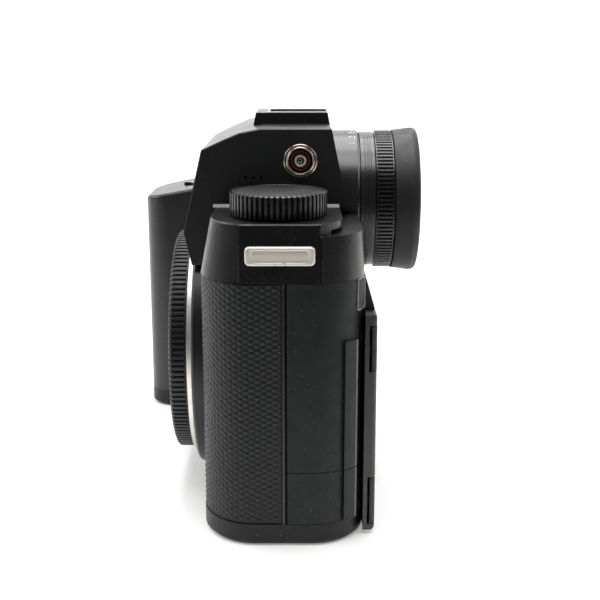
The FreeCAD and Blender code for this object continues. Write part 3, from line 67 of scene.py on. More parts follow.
# Places on the body, from the CAD
left_x, right_x = span("leather_front", "x")[1], span("leather_grip", "x")[0]
front_y, rear_y = span("leather_front", "y")[0], span("base_plate", "y")[1]
band_z, shell_z = span("leather_front", "z")
shoulder_z = span("top_cover", "z")[1]
grip_inner_x, grip_front_y = span("grip_casing", "x")[1], span("leather_grip", "y")[0]
hump_x = span("prism_housing", "x")[1]
lens_z = centre("body_cap", "z")
lens_centre = (0, 0, lens_z)
eye_centre = (0, 0, centre("dioptre_ring", "z"))
dial_centre = (centre("speed_dial", "x"), centre("speed_dial", "y"), 0)
wheel_centre = (centre("thumb_wheel", "x"), centre("thumb_wheel", "y"), 0)
sync_centre = (hump_x, centre("sync_socket", "y"), centre("sync_socket", "z"))

# Curves of the body's outline, the same as in the part's source
corner_run, corner_depth = 17.0, 15.5  # front left corner, along X and Y
corner_wide_r, corner_tight_r = 17.75, 14.0  # the two arcs that it is made of
rear_corner_r = 15.0
rear_corner_x, rear_corner_y = left_x - rear_corner_r, rear_y - rear_corner_r
grip_front_r = 12.0


def rounded(corners, steps=6):
    """A polyline with round corners. Each corner is two coordinates and a radius; the ends stay sharp."""
    points = [np.array(corner[:2], float) for corner in corners]
    out = [points[0]]
    for n in range(1, len(points) - 1):
        a, b, c = points[n - 1:n + 2]
        u, v = a - b, c - b
        lu, lv = np.linalg.norm(u), np.linalg.norm(v)
        u, v = u / lu, v / lv
        half = math.acos(float(u @ v)) / 2
        reach = min(corners[n][2] / math.tan(half), lu * 0.49, lv * 0.49)
        r = reach * math.tan(half)
        middle = b + (u + v) / np.linalg.norm(u + v) * r / math.sin(half)
        start, end = b + u * reach - middle, b + v * reach - middle
        turn = math.acos(float(start @ end) / (r * r))
        for k in range(steps + 1):
            t = k / steps
            w = (math.sin((1 - t) * turn) * start + math.sin(t * turn) * end) / math.sin(turn)
            out.append(middle + w)
    out.append(points[-1])
    return np.array(out)


class Shape:
    """Surfaces that are gathered into one mesh."""

    def __init__(self):
        self.points = []
        self.faces = []
        self.count = 0
        self.tops = []

    def add(self, points):
        """Adds points and returns the number of the first."""
        points = np.asarray(points, float).reshape(-1, 3)
        start = self.count
        self.points.append(points)
        self.count += len(points)
        return start

    def grid(self, places, loop_rows=False, loop_cols=False, keep=None, flip=False):
        """A grid of points, rows by columns, as quads."""
        rows, cols = places.shape[:2]
        start = self.add(places)
        i, j = np.meshgrid(np.arange(rows if loop_rows else rows - 1),
                           np.arange(cols if loop_cols else cols - 1), indexing="ij")
        i2, j2 = (i + 1) % rows, (j + 1) % cols
        quads = np.stack([i * cols + j, i2 * cols + j, i2 * cols + j2, i * cols + j2], axis=-1)
        quads = quads[keep] if keep is not None else quads.reshape(-1, 4)
        if flip:
            quads = quads[:, ::-1]
        self.faces.extend((quads + start).tolist())
        return start

    def stack(self, loops):
        """Closed loops of equal length, joined in order, with flat ends."""
        places = np.array(loops, float)
        start = self.grid(places, loop_cols=True)
        rows, cols = places.shape[:2]
        last = start + (rows - 1) * cols
        self.faces.append([start + k for k in range(cols)])
        self.faces.append([last + k for k in reversed(range(cols))])

    def lathe(self, centre, axis, profile, count, cut=None):
        """Turns a profile of radius, place along the axis. cut(row, angles) gives a depth off the radius.

        A profile that starts and ends off the axis closes on itself.
        """
        turn = {"x": (2, 0, 1), "y": (0, 2, 1), "z": (0, 1, 2)}[axis]
        angles = np.arange(count) * 2 * math.pi / count
        rows = []
        for n, (r, t) in enumerate(profile):
            radius = np.full(count, float(r)) - (cut(n, angles) if cut is not None else 0.0)
            local = (radius * np.cos(angles), radius * np.sin(angles), np.full(count, float(t)))
            rows.append(np.stack([local[k] for k in turn], axis=-1) + np.array(centre, float))
        poles = [n for n in (0, len(profile) - 1) if profile[n][0] == 0]
        ring = [row for n, row in enumerate(rows) if n not in poles]
        start = self.grid(np.array(ring), loop_cols=True, loop_rows=not poles)
        for n in poles:
            pole = self.add(rows[n][:1])
            edge = start + (0 if n == 0 else len(ring) - 1) * count
            self.faces.extend([pole, edge + k, edge + (k + 1) % count] for k in range(count))

    def make(self, name, body, look, stands_for=(), smooth=40.0):
        """The piece on its body. Edges sharper than smooth, in degrees, stay crisp."""
        mesh = bpy.data.meshes.new(name)
        mesh.from_pydata((np.concatenate(self.points) * MM).tolist(), [], self.faces)
        mesh.validate()
        if self.tops:
            tops = np.zeros(self.count)
            for start, values in self.tops:
                tops[start:start + len(values)] = values
            mesh.attributes.new("tops", "FLOAT", "POINT").data.foreach_set("value", tops)
        shell = bmesh.new()
        shell.from_mesh(mesh)
        bmesh.ops.remove_doubles(shell, verts=shell.verts, dist=1e-7)
        bmesh.ops.recalc_face_normals(shell, faces=shell.faces)
        shell.to_mesh(mesh)
        shell.free()
        piece = bpy.data.objects.new(name, mesh)
        bpy.context.scene.collection.objects.link(piece)
        mesh.materials.append(look)
        mesh.shade_smooth()
        mesh.set_sharp_from_angle(angle=math.radians(smooth))
        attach(piece, body)
        if stands_for:
            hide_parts(*stands_for)


def strip(name, body, look, axis, ends, section):
    """A section drawn straight along Y or Z, from one end to the other."""
    shape = Shape()
    shape.stack([[(a, end, b) if axis == "y" else (a, b, end) for a, b in section] for end in ends])
    shape.make(name, body, look, smooth=30)


# Materials

dust_colour, dust_size = (0.34, 0.33, 0.31), 0.55
rub_size = 1.6  # patches where an edge has lost its paint


class Tree:
    """Adds nodes to a material and joins them."""

    soft, wide = (0.35, 0.65), (0.3, 0.7)  # the parts of a noise's range that a ramp spreads out

    def __init__(self, name):
        self.material = bpy.data.materials.new(name)
        self.material.use_nodes = True
        self.tree = self.material.node_tree
        self.shader = self.tree.nodes["Principled BSDF"]
        place = self.add("ShaderNodeMapping", Scale=(1 / MM, 1 / MM, 1 / MM))
        self.join(self.tree.nodes.new("ShaderNodeTexCoord").outputs["Object"], place.inputs["Vector"])
        self.place = place.outputs["Vector"]

    def join(self, output, socket):
        self.tree.links.new(output, socket)

    def fill(self, socket, value):
        """Joins another node's output to a socket, or sets its value."""
        if isinstance(value, bpy.types.NodeSocket):
            self.join(value, socket)
        else:
            socket.default_value = value

    def add(self, kind, settings=None, **inputs):
        """A node with its settings, and its inputs set or joined."""
        node = self.tree.nodes.new(kind)
        for key, value in (settings or {}).items():
            setattr(node, key, value)
        for key, value in inputs.items():
            self.fill(node.inputs[key.replace("_", " ")], value)
        return node

    def split(self, vector):
        """The X, Y and Z outputs of a vector."""
        return self.add("ShaderNodeSeparateXYZ", Vector=vector).outputs

    def noise(self, size, detail=3.0, rough=0.55, stretch=None, vector=None):
        """Noise whose features are about size mm across."""
        vector = vector or self.place
        if stretch:
            scaled = self.add("ShaderNodeVectorMath", {"operation": "MULTIPLY"})
            self.join(vector, scaled.inputs[0])
            scaled.inputs[1].default_value = stretch
            vector = scaled.outputs[0]
        return self.add("ShaderNodeTexNoise", Vector=vector, Scale=1.0 / size, Detail=detail,
                        Roughness=rough).outputs["Fac"]

    def ramp(self, value, low, high, start=0.0, end=1.0):
        """Takes low..high to start..end."""
        return self.add("ShaderNodeMapRange", Value=value, From_Min=low, From_Max=high, To_Min=start,
                        To_Max=end).outputs["Result"]

    def math(self, operation, a, b):
        node = self.add("ShaderNodeMath", {"operation": operation})
        self.fill(node.inputs[0], a)
        self.fill(node.inputs[1], b)
        return node.outputs[0]

    def mix(self, factor, a, b):
        """A colour between two, each a colour or a socket."""
        node = self.add("ShaderNodeMix", {"data_type": "RGBA"})
        self.join(factor, node.inputs["Factor"])
        for key, value in (("A", a), ("B", b)):
            socket = next(s for s in node.inputs if s.name == key and s.type == "RGBA")
            self.fill(socket, value if isinstance(value, bpy.types.NodeSocket) else (*value, 1))
        return next(s for s in node.outputs if s.type == "RGBA")

    def cloud(self, size, dark, light):
        """Large soft patches between two colours."""
        return self.mix(self.ramp(self.noise(size, detail=2.0), *self.soft), dark, light)

    def bump(self, height, depth):
        return self.add("ShaderNodeBump", Height=height, Distance=depth * MM).outputs["Normal"]

    def set(self, **values):
        """Sets or joins inputs of the surface shader."""
        for key, value in values.items():
            self.fill(self.shader.inputs[key.replace("_", " ")], value)


def tinted(colour, share):
    return tuple(c * share for c in colour)


def edge_mask(tree, radius):
    """1 on sharp edges, 0 on flat and softly curved faces."""
    bevel = tree.add("ShaderNodeBevel", {"samples": 4}, Radius=radius * MM)
    geometry = tree.add("ShaderNodeNewGeometry")
    dot = tree.add("ShaderNodeVectorMath", {"operation": "DOT_PRODUCT"})
    tree.join(bevel.outputs["Normal"], dot.inputs[0])
    tree.join(geometry.outputs["Normal"], dot.inputs[1])
    return tree.ramp(tree.math("SUBTRACT", 1.0, dot.outputs["Value"]), 0.02, 0.25)


def coated(name, colour, rough, grain=0.5, depth=0.006, mottle=0.14, patch=14.0, worn=None, edge=0.35,
           dust=0.0, specular=0.5, metal=0.0, spread=0.06):
    """Paint, rubber or moulded plastic: grain, soft mottling, worn edges and a little dust."""
    t = Tree(name)
    fine = t.noise(grain, detail=4.0, rough=0.6)
    blend = t.math("ADD", t.math("MULTIPLY", t.noise(patch, detail=2.0), 0.7), t.math("MULTIPLY", fine, 0.3))
    shade = t.mix(t.ramp(blend, *t.soft), tinted(colour, 1 - mottle), tinted(colour, 1 + mottle))
    if worn is not None:
        worn_and_lit = t.ramp(t.noise(rub_size, detail=4.0), 0.35, 0.62)
        shade = t.mix(t.math("MULTIPLY", edge_mask(t, edge), worn_and_lit), shade, worn)
    if dust:
        specks = t.ramp(t.noise(dust_size, detail=1.0, rough=0.4), 0.735, 0.76)
        shade = t.mix(t.math("MULTIPLY", specks, dust), shade, dust_colour)
    t.set(Base_Color=shade, Metallic=metal, Specular_IOR_Level=specular, Normal=t.bump(fine, depth),
          Roughness=t.ramp(t.noise(patch * 0.4), *t.wide, rough - spread, rough + spread))
    return t.material


def metal(name, colour, rough, stretch=(1, 1, 1), size=0.5, depth=0.003, spread=0.07):
    """Bare metal with fine marks along one direction."""
    t = Tree(name)
    marks = t.noise(size, detail=4.0, rough=0.65, stretch=stretch)
    t.set(Base_Color=t.cloud(6.0, tinted(colour, 0.9), colour), Metallic=1.0, Normal=t.bump(marks, depth),
          Roughness=t.ramp(marks, *t.wide, rough - spread, rough + spread))
    return t.material


def turned(name, colour, rough, axis_z):
    """Metal turned about an axis along Y at a height: fine rings round that axis."""
    t = Tree(name)
    parts = t.split(t.place)
    across = t.add("ShaderNodeCombineXYZ", X=parts["X"], Y=t.math("SUBTRACT", parts["Z"], axis_z))
    radius = t.add("ShaderNodeVectorMath", {"operation": "LENGTH"})
    t.join(across.outputs["Vector"], radius.inputs[0])
    line = t.add("ShaderNodeCombineXYZ", X=radius.outputs["Value"], Y=parts["Y"])
    rings = t.noise(0.16, detail=2.0, rough=0.5, vector=line.outputs["Vector"])
    cloud = t.ramp(t.noise(5.0), *t.soft)
    t.set(Base_Color=t.mix(cloud, tinted(colour, 0.86), colour), Metallic=1.0, Normal=t.bump(rings, 0.004),
          Roughness=t.ramp(rings, *t.wide, rough - 0.08, rough + 0.08))
    return t.material


def clear(name, colour, rough, weight):
    """Coated glass."""
    t = Tree(name)
    smear = t.noise(3.5)
    t.set(Base_Color=t.mix(t.ramp(smear, *t.wide), tinted(colour, 0.96), colour),
          Roughness=t.ramp(smear, *t.wide, rough, rough + 0.03), Transmission_Weight=weight, IOR=1.52)
    return t.material


def leather_look(name, colour):
    """Leatherette over its modelled bumps: fine pores, and tops painted lighter, partly wear and partly a
    painted highlight.
    """
    t = Tree(name)
    pores = t.noise(0.22, detail=4.0, rough=0.65)
    shade = t.cloud(11.0, tinted(colour, 0.86), tinted(colour, 1.14))
    shade = t.mix(t.ramp(pores, 0.55, 0.75, 0.0, 0.5), shade, tinted(colour, 1.7))
    tops = t.add("ShaderNodeAttribute", {"attribute_name": "tops"}).outputs["Fac"]
    uneven = t.ramp(t.noise(0.9), 0.3, 0.65, 0.25, 0.8)
    # Bump tops are painted lighter: partly wear, partly a painted highlight on every bump.
    worn_and_lit = t.math("MULTIPLY", t.ramp(tops, 0.35, 0.95), uneven)
    t.set(Base_Color=t.mix(worn_and_lit, shade, tinted(colour, 2.5)), Specular_IOR_Level=0.36,
          Roughness=t.ramp(pores, *t.wide, 0.42, 0.56), Normal=t.bump(pores, 0.012))
    return t.material


def board_look(name):
    """Circuit board with lighter tracks and pads."""
    t = Tree(name)
    cells = t.add("ShaderNodeTexVoronoi", {"distance": "CHEBYCHEV"}, Vector=t.place, Scale=0.35)
    edge = t.ramp(cells.outputs["Distance"], 0.42, 0.46)
    t.set(Base_Color=t.mix(edge, (0.012, 0.08, 0.035), (0.03, 0.16, 0.07)), Normal=t.bump(edge, 0.03),
          Roughness=t.ramp(t.noise(1.0), *t.wide, 0.3, 0.42))
    return t.material


def sensor_look(name):
    """Filter glass that shimmers blue to violet."""
    t = Tree(name)
    bands = t.ramp(t.noise(9.0, detail=1.0), *t.soft)
    t.set(Base_Color=t.mix(bands, (0.02, 0.035, 0.07), (0.05, 0.03, 0.08)), Coat_Weight=0.6,
          Roughness=t.ramp(t.noise(2.0), *t.wide, 0.06, 0.12))
    return t.material


def paper(name, colour, shade_colour, far_x, glow):
    """Pale paper that glows a little, and is painted dark in front of the camera body: a painted shade."""
    t = Tree(name)
    near = t.mix(t.ramp(t.noise(60.0), *t.wide), tinted(colour, 0.985), colour)
    shade = t.mix(t.ramp(t.split(t.place)["X"], *far_x), near, shade_colour)
    t.set(Base_Color=shade, Roughness=0.9, Emission_Color=shade, Emission_Strength=glow)
    return t.material


# One look for each material slot of the record
looks = {
    "body_paint": coated("satin_paint", (0.0125, 0.013, 0.0127), 0.3, grain=0.28, depth=0.005, mottle=0.08,
                         worn=(0.035, 0.035, 0.034), dust=0.14, spread=0.025),
    "leather": leather_look("leatherette", (0.0082, 0.0094, 0.0092)),
    "mount_paint": coated("mount_black", (0.008, 0.008, 0.008), 0.4, grain=0.4, depth=0.004),
    "flange_steel": turned("turned_steel", (0.93, 0.9, 0.83), 0.42, lens_z),
    "screw_steel": metal("plain_steel", (0.5, 0.5, 0.49), 0.34, size=0.4),
    "nickel": metal("warm_nickel", (0.9, 0.83, 0.73), 0.28, size=1.2, depth=0.0005, spread=0.03),
    "contact_gold": metal("gold_plate", (0.78, 0.56, 0.24), 0.22, size=0.4),
    "cap_plastic": coated("cap_moulding", (0.0095, 0.0095, 0.0098), 0.44, grain=0.2, depth=0.008,
                          mottle=0.2, worn=(0.03, 0.03, 0.03), edge=0.2),
    "dial_metal": coated("anodised", (0.0055, 0.0054, 0.0052), 0.32, grain=0.14, depth=0.004, dust=0.3,
                         worn=(0.09, 0.088, 0.085), edge=0.12, specular=0.62),
    "key_plastic": coated("key_moulding", (0.012, 0.012, 0.0125), 0.5, grain=0.2),
    "door_rubber": coated("rubber_coat", (0.0135, 0.0165, 0.016), 0.46, grain=0.16, mottle=0.2, patch=7.0,
                          worn=(0.035, 0.038, 0.037), dust=0.16, specular=0.26),
    "eyecup_rubber": coated("soft_rubber", (0.016, 0.0165, 0.0165), 0.5, grain=0.12, depth=0.008,
                            mottle=0.12, patch=6.0, dust=0.15, specular=0.44),
    "barrel_black": coated("barrel_paint", (0.0075, 0.0073, 0.007), 0.27, grain=0.3, depth=0.003,
                           mottle=0.1, spread=0.02, specular=0.75),
    "optical_glass": clear("coated_glass", (0.9, 0.95, 0.93), 0.01, 0.92),
    "screen_black": coated("cover_glass", (0.004, 0.004, 0.0045), 0.08, grain=4.0, depth=0.0, spread=0.02),
    "mirror": metal("silvered", (0.92, 0.92, 0.9), 0.05, size=2.0, depth=0.0, spread=0.02),
    "inner_black": coated("flocking", (0.007, 0.007, 0.007), 0.8, grain=0.15, depth=0.03),
    "blade_black": coated("blade_coat", (0.012, 0.012, 0.013), 0.45, grain=0.25, depth=0.002),
    "chassis_cast": metal("casting", (0.4, 0.41, 0.42), 0.5, size=0.6, depth=0.02),
    "board_green": board_look("board"),
    "sensor_blue": sensor_look("sensor_filter"),
    "battery_shell": coated("battery_moulding", (0.012, 0.012, 0.012), 0.5, grain=0.22, depth=0.01),
    "shoe_steel": metal("blasted_steel", (0.3, 0.295, 0.285), 0.36, size=0.3, depth=0.006),
    "port_metal": metal("drawn_steel", (0.55, 0.55, 0.54), 0.3, stretch=(0.2, 1, 1), size=0.3),
}

# Looks of single pieces and nodes
copper = metal("copper_plate", (0.5, 0.25, 0.17), 0.3, size=2.0, depth=0.0003, spread=0.04)
# The sync ring's brown tint is a painted reflection of brown surroundings.
warm_reflection_metal = metal("warm_reflection_ring", (0.62, 0.5, 0.41), 0.24, size=1.0, depth=0.0008, spread=0.03)
# Pale glossy paint for the hump feet and the display housing's edge: a painted highlight.
highlight_paint = coated("highlight_paint", (0.04, 0.039, 0.036), 0.2, grain=0.4, depth=0.002, specular=0.9)
# Lighter than the dial's anodising: the dial's top is painted light, with real dust on it.
lit_matte_top = coated("lit_matte_top", (0.025, 0.024, 0.0225), 0.42, grain=0.3, depth=0.004, mottle=0.3,
                   patch=11.0, dust=0.35)
frosted = coated("frosted_nickel", (0.9, 0.85, 0.74), 0.42, grain=0.35, mottle=0.06, metal=0.15)
bright_nickel = coated("bright_nickel", (1.0, 0.96, 0.88), 0.3, depth=0.002, mottle=0.04, metal=0.45)
foot_paint = coated("foot_paint", (0.0095, 0.01, 0.0097), 0.42, grain=0.22, mottle=0.12,
                    worn=(0.035, 0.035, 0.034), dust=0.3, specular=0.3)
# Darker than the satin paint: a painted shade on the top cover's flat end panel.
shaded_facet_paint = coated("shaded_facet_paint", (0.0055, 0.0057, 0.0055), 0.25, grain=0.28, depth=0.003, mottle=0.08,
                     worn=(0.12, 0.12, 0.115), edge=0.15, dust=0.1)
# Lighter than the satin paint: painted light on the display housing's side.
lit_rear_paint = coated("lit_rear_paint", (0.034, 0.0355, 0.0325), 0.36, grain=0.3, depth=0.005, mottle=0.1,
                    worn=(0.05, 0.05, 0.048), dust=0.12)
# Pale rubber for the finger ridges' rear edges: partly wear, partly a painted highlight.
worn_highlight_rubber = coated("worn_highlight_rubber", (0.11, 0.118, 0.112), 0.4, grain=0.4, depth=0.004, mottle=0.3,
                     specular=0.6)
# Lighter leather for the corner pad, painted light, with its rim painted as a highlight.
lit_corner_leather = leather_look("lit_corner_leather", (0.032, 0.034, 0.033))
# Pale paint for the ridge round the corner pad: a painted highlight.
rim_highlight = coated("rim_highlight", (0.4, 0.4, 0.38), 0.38, grain=0.2, depth=0.004, mottle=0.3, patch=2.0)
cream = coated("cream_ink", (0.78, 0.73, 0.52), 0.6, grain=0.2, depth=0.004)

# CAD nodes keep their shape, and get their finish and soft edges
own_looks = {"base_plate": foot_paint, "display_housing": lit_rear_paint}
bevel_widths = {"top_cover": 0.22, "prism_housing": 0.22, "base_plate": 0.25, "front_casing": 0.15,
                "rear_cover": 0.25, "display_housing": 0.3, "port_door_upper": 0.22, "port_door_lower": 0.22,
                "grip_casing": 0.3, "card_door": 0.2, "hot_shoe": 0.12, "mount_collar": 0.25,
                "lens_mount_ring": 0.15, "menu_key_upper_left": 0.25, "menu_key_lower_left": 0.25,
                "menu_key_upper_right": 0.25, "menu_key_lower_right": 0.25, "main_switch": 0.2,
                "lock_key": 0.3, "battery_latch": 0.15, "battery": 0.4, "display_glass": 0.15}


def soften(node, width):
    """Joins a CAD mesh's points, dissolves its flat faces and rounds its sharp edges."""
    node.modifiers.new("weld", "WELD").merge_threshold = 0.002 * MM
    flat = node.modifiers.new("flat", "DECIMATE")
    flat.decimate_type = "DISSOLVE"
    flat.angle_limit = math.radians(0.3)
    bevel = node.modifiers.new("bevel", "BEVEL")
    bevel.width = width * MM
    bevel.segments = 2
    bevel.limit_method = "ANGLE"
    bevel.angle_limit = math.radians(24)
    node.modifiers.new("normals", "WEIGHTED_NORMAL").keep_sharp = True


for entry in frame["record"]["subparts"]:
    name = entry["node"]
    nodes[name].data.materials.clear()
    nodes[name].data.materials.append(own_looks.get(name, looks[entry["material_slot"]]))
    if name in bevel_widths:
        soften(nodes[name], bevel_widths[name])


# Leather

bump_column, bump_row = 1.65, 1.68  # pitch of the leatherette's bumps, across and up
bump_half_wide, bump_half_high = 0.9, 0.62
leather_sunk = 0.25  # valleys below the face of the CAD leather
leather_tall = 0.2  # height of a bump
leather_back = 0.7  # depth of the turned-in edge
leather_rim, leather_rim_drop = 0.5, 0.12  # where the sheet falls off at its edges
leather_seam = 0.12  # free at the base plate and the top cover
leather_z = (band_z + leather_seam, shell_z - leather_seam)


def along(runs, step):
    """Places and outward directions along straight runs (start, end) and arcs (centre, r, from, to)."""
    lengths = [math.dist(*run) if len(run) == 2 else run[1] * abs(run[3] - run[2]) for run in runs]
    s = np.linspace(0, sum(lengths), int(round(sum(lengths) / step)) + 1)
    places = np.zeros((len(s), 4))
    at = 0.0
    for run, length in zip(runs, lengths):
        part = (s >= at - 1e-9) & (s <= at + length + 1e-9)
        t = (s[part] - at) / length
        if len(run) == 2:
            (x0, y0), (x1, y1) = run
            out = np.full(len(t), (y1 - y0) / length), np.full(len(t), (x0 - x1) / length)
            places[part] = np.stack([x0 + (x1 - x0) * t, y0 + (y1 - y0) * t, *out], axis=-1)
        else:
            (cx, cy), r, start, end = run
            a = start + (end - start) * t
            places[part] = np.stack([cx + r * np.cos(a), cy + r * np.sin(a), np.cos(a), np.sin(a)], axis=-1)
        at += length
    return s, *places.T


def bumps(s, z):
    """Height from 0 to 1 of the small staggered bumps of the leatherette, each a little different."""
    best = np.zeros(np.broadcast(s, z).shape)
    for odd in (0, 1):
        i = np.round((s / bump_column - odd) / 2)
        j = np.round(z / bump_row - odd / 2)
        change = np.sin(i * 12.9898 + j * 78.233 + odd * 37.7) * 43758.5453
        change = change - np.floor(change)
        u = s - (2 * i + odd) * bump_column + (change - 0.5) * 0.35
        v = z - (j + odd / 2) * bump_row
        d = (np.abs(u) / bump_half_wide) ** 1.6 + (np.abs(v) / bump_half_high) ** 1.6
        t = np.clip(1.15 - d, 0, 1)
        best = np.maximum(best, t * t * (3 - 2 * t) * (0.65 + 0.45 * change))
    return best


def leather_sheet(name, line, z, node, hole=None):
    """A sheet with modelled bumps along a line of places, closed at the rim with a turned-in edge."""
    s, x, y, nx, ny = line
    high = bumps(s[:, None], z[None, :]) * leather_tall - leather_sunk
    rim = np.minimum(np.minimum(s - s[0], s[-1] - s)[:, None], np.minimum(z - z[0], z[-1] - z)[None, :])
    share = rim / leather_rim
    fallen = -leather_sunk - leather_rim_drop * (1 - share) ** 2 + (high + leather_sunk) * share
    high = np.where(rim < leather_rim, fallen, high)
    top = np.stack([x[:, None] + nx[:, None] * high, y[:, None] + ny[:, None] * high,
                    np.broadcast_to(z, high.shape)], axis=-1)
    keep = None
    if hole is not None:
        keep, top = hole(top)
    sheet = Shape()
    tops = ((high + leather_sunk) / leather_tall).clip(0, 1)
    sheet.tops.append((sheet.grid(top, keep=keep), tops.ravel()))
    inner = np.stack([x - nx * leather_back, y - ny * leather_back], axis=-1)
    for edge, low in ((top[:, 0], z[0]), (top[:, -1], z[-1])):
        below = np.column_stack([inner, np.full(len(x), low)])
        sheet.grid(np.array([edge, below]), flip=low == z[0])
    for n in (0, -1):
        below = np.column_stack([np.full(len(z), inner[n, 0]), np.full(len(z), inner[n, 1]), z])
        sheet.grid(np.array([top[n], below]), flip=n == -1)
    sheet.make(name, "body", looks["leather"], [node], smooth=60)


def mount_holes(places):
    """Cuts the openings of the lens mount and the release button."""
    mount_r, button_r, snap = 37.4, 4.5, 0.35
    button = (centre("lens_release_button", "x"), centre("lens_release_button", "z"))
    keep = np.ones((places.shape[0] - 1, places.shape[1] - 1), bool)
    for cx, cz, r in ((0.0, lens_z, mount_r), (*button, button_r)):
        dx, dz = places[..., 0] - cx, places[..., 2] - cz
        d = np.hypot(dx, dz)
        inside = (d < r) & (places[..., 1] < 0)
        near = inside & (d > r - snap)
        places[near, 0] = (cx + dx * r / np.maximum(d, 1e-6))[near]
        places[near, 2] = (cz + dz * r / np.maximum(d, 1e-6))[near]
        gone = inside & ~near
        keep &= ~(gone[:-1, :-1] | gone[1:, :-1] | gone[:-1, 1:] | gone[1:, 1:])
    return keep, places


def front_line():
    """From the grip over the round left end to the rib."""
    wide = (left_x - corner_run, front_y + corner_wide_r)
    tight = (left_x - corner_tight_r, front_y + corner_depth)
    turn = math.atan2(tight[1] - wide[1], tight[0] - wide[0])
    end_y = span("leather_front", "y")[1] - 0.04
    return along([((grip_inner_x + 0.2, front_y), (wide[0], front_y)),
                  (wide, corner_wide_r, -math.pi / 2, turn),
                  (tight, corner_tight_r, turn, 0.0),
                  ((left_x, tight[1]), (left_x, end_y))], step=0.2062)


def grip_line():
    """From the grip's right side round to its front."""
    corner = (right_x + grip_front_r, grip_front_y + grip_front_r)
    end_x = span("leather_grip", "x")[1] - 0.1
    return along([((right_x, front_y - 0.1), (right_x, corner[1])),
                  (corner, grip_front_r, -math.pi, -math.pi / 2),
                  ((corner[0], grip_front_y), (end_x, grip_front_y))], step=0.3)


leather_sheet("leatherette_front", front_line(), np.linspace(*leather_z, 340), "leather_front", mount_holes)
leather_sheet("leatherette_grip", grip_line(), np.linspace(*leather_z, 220), "leather_grip")


def pad(name, place, size, corner, tall, bump, rim, step, fine=1.0, look=None):
    """A raised pad with bumps and round corners. place(u, v, h) puts points across, up and out.

    fine makes the bumps smaller. A pad with a look of its own has its rim painted light, a painted highlight.
    """
    width, height = size
    v = np.linspace(0, height, int(height / step) + 1)
    near = np.clip(corner - np.minimum(v, height - v), 0, corner)
    drawn = (corner - np.sqrt(corner ** 2 - near ** 2))[:, None]
    share = np.linspace(0, 1, int(width / step) + 1)
    u = drawn + share[None, :] * (width - 2 * drawn)
    v = np.broadcast_to(v[:, None], u.shape)
    edge = np.minimum(np.minimum(u - drawn, width - drawn - u), np.minimum(v, height - v))
    fall = np.sqrt(np.clip(1 - (1 - np.clip(edge / rim, 0, 1)) ** 2, 0, 1))
    pattern = bumps(u * fine, v * fine)
    sheet = Shape()
    top = sheet.grid(place(u, v, fall * (tall - bump + bump * pattern)))
    # On a pad with its own look the rim counts as a top, which the look paints lighter: a painted rim
    # highlight.
    sheet.tops.append((top, np.maximum(pattern, (edge < rim) & (look is not None)).ravel()))
    sheet.grid(place(u, v, np.zeros_like(u)), flip=True)
    sheet.make(name, "body", look or looks["leather"], ["leather_rear"], smooth=60)


thumb_pad_size = (30.5, 66.0)
thumb_pad_x = span("leather_rear", "x")[0] + thumb_pad_size[0]
thumb_pad_z = span("leather_rear", "z")[0]
corner_pad_size, corner_pad_r = (5.5, 9.1), 0.9
corner_pad_in = 3.2  # from the start of the round corner
corner_pad_z = span("leather_rear", "z")[1] - corner_pad_size[1]


def thumb_place(u, v, h):
    return np.stack([thumb_pad_x - u, rear_y + h, thumb_pad_z + v], axis=-1)


def corner_place(u, v, h):
    """Places on the round rear corner beside the eyepiece."""
    a = math.asin(corner_pad_in / rear_corner_r) + u / rear_corner_r
    r = rear_corner_r + h
    x, y = rear_corner_x + r * np.sin(a), rear_corner_y + r * np.cos(a)
    return np.stack([x, y, corner_pad_z + v], axis=-1)


pad("thumb_pad", thumb_place, thumb_pad_size, corner=3.9, tall=1.2, bump=0.24, rim=0.9, step=0.25)
pad("corner_pad", corner_place, corner_pad_size, corner=corner_pad_r, tall=0.35, bump=0.16, rim=0.25,
    step=0.07, fine=2.6, look=lit_corner_leather)


# Turned and ridged pieces. Each profile is a list of radius and place along the axis.

def ridges(count, depth, crest, rows):
    """Depth taken off between ridges, on the given rows of a profile.

    crest is about the share of the pitch that each ridge keeps.
    """
    limit = math.sin(math.pi / 2 * crest) ** 2
    flank, swell = 0.6, 0.12  # how steep the flanks are, and how far the whole row is waved

    def cut(row, angles):
        if row not in rows:
            return 0.0
        wave = 0.5 - 0.5 * np.cos(count * angles)
        return depth * np.clip((wave - limit) / (1 - limit), 0, 1) ** flank + depth * swell * wave
    return cut


def turned_piece(name, body, slot, node, centre, axis, profile, count, cut=None, look=None, smooth=40.0):
    shape = Shape()
    shape.lathe(centre, axis, profile, count, cut)
    shape.make(name, body, look or looks[slot], [node], smooth)


def ridged_cap():
    """The body cap: a ridged rim, a dished face and three lugs behind."""
    count = 132
    profile = [(0, -33.75), (25.4, -33.75), (25.9, -34.1), (26.4, -34.2), (34.7, -34.2), (35.5, -33.85),
               (35.95, -33.35), (36.05, -33.0), (36.05, -29.3), (36.05, -29.3), (35.75, -29.25),
               (35.75, -28.7), (35.65, -28.6), (34.4, -28.6), (34.4, -29.8), (30.0, -29.8), (30.0, -28.6),
               (23.3, -28.6), (23.3, -25.5), (23.1, -25.3), (20.0, -25.3), (19.9, -25.4), (19.9, -28.45),
               (0, -28.45)]
    cap = Shape()
    cap.lathe(lens_centre, "y", profile, count * 8, ridges(count, depth=0.55, crest=0.5, rows=range(5, 9)))
    lug_r, lug_y, lug_half = (22.9, 25.5), (-26.5, -25.3), 20
    for middle in (30, 150, 270):
        a = np.radians(np.linspace(middle - lug_half, middle + lug_half, 14))
        loop = [(r * math.cos(t), lens_z + r * math.sin(t))
                for r, turns in ((lug_r[1], a), (lug_r[0], a[::-1])) for t in turns]
        cap.stack([[(x, y, z) for x, z in loop] for y in lug_y])
    cap.make("ridged_cap", "cap", looks["cap_plastic"], ["body_cap"])


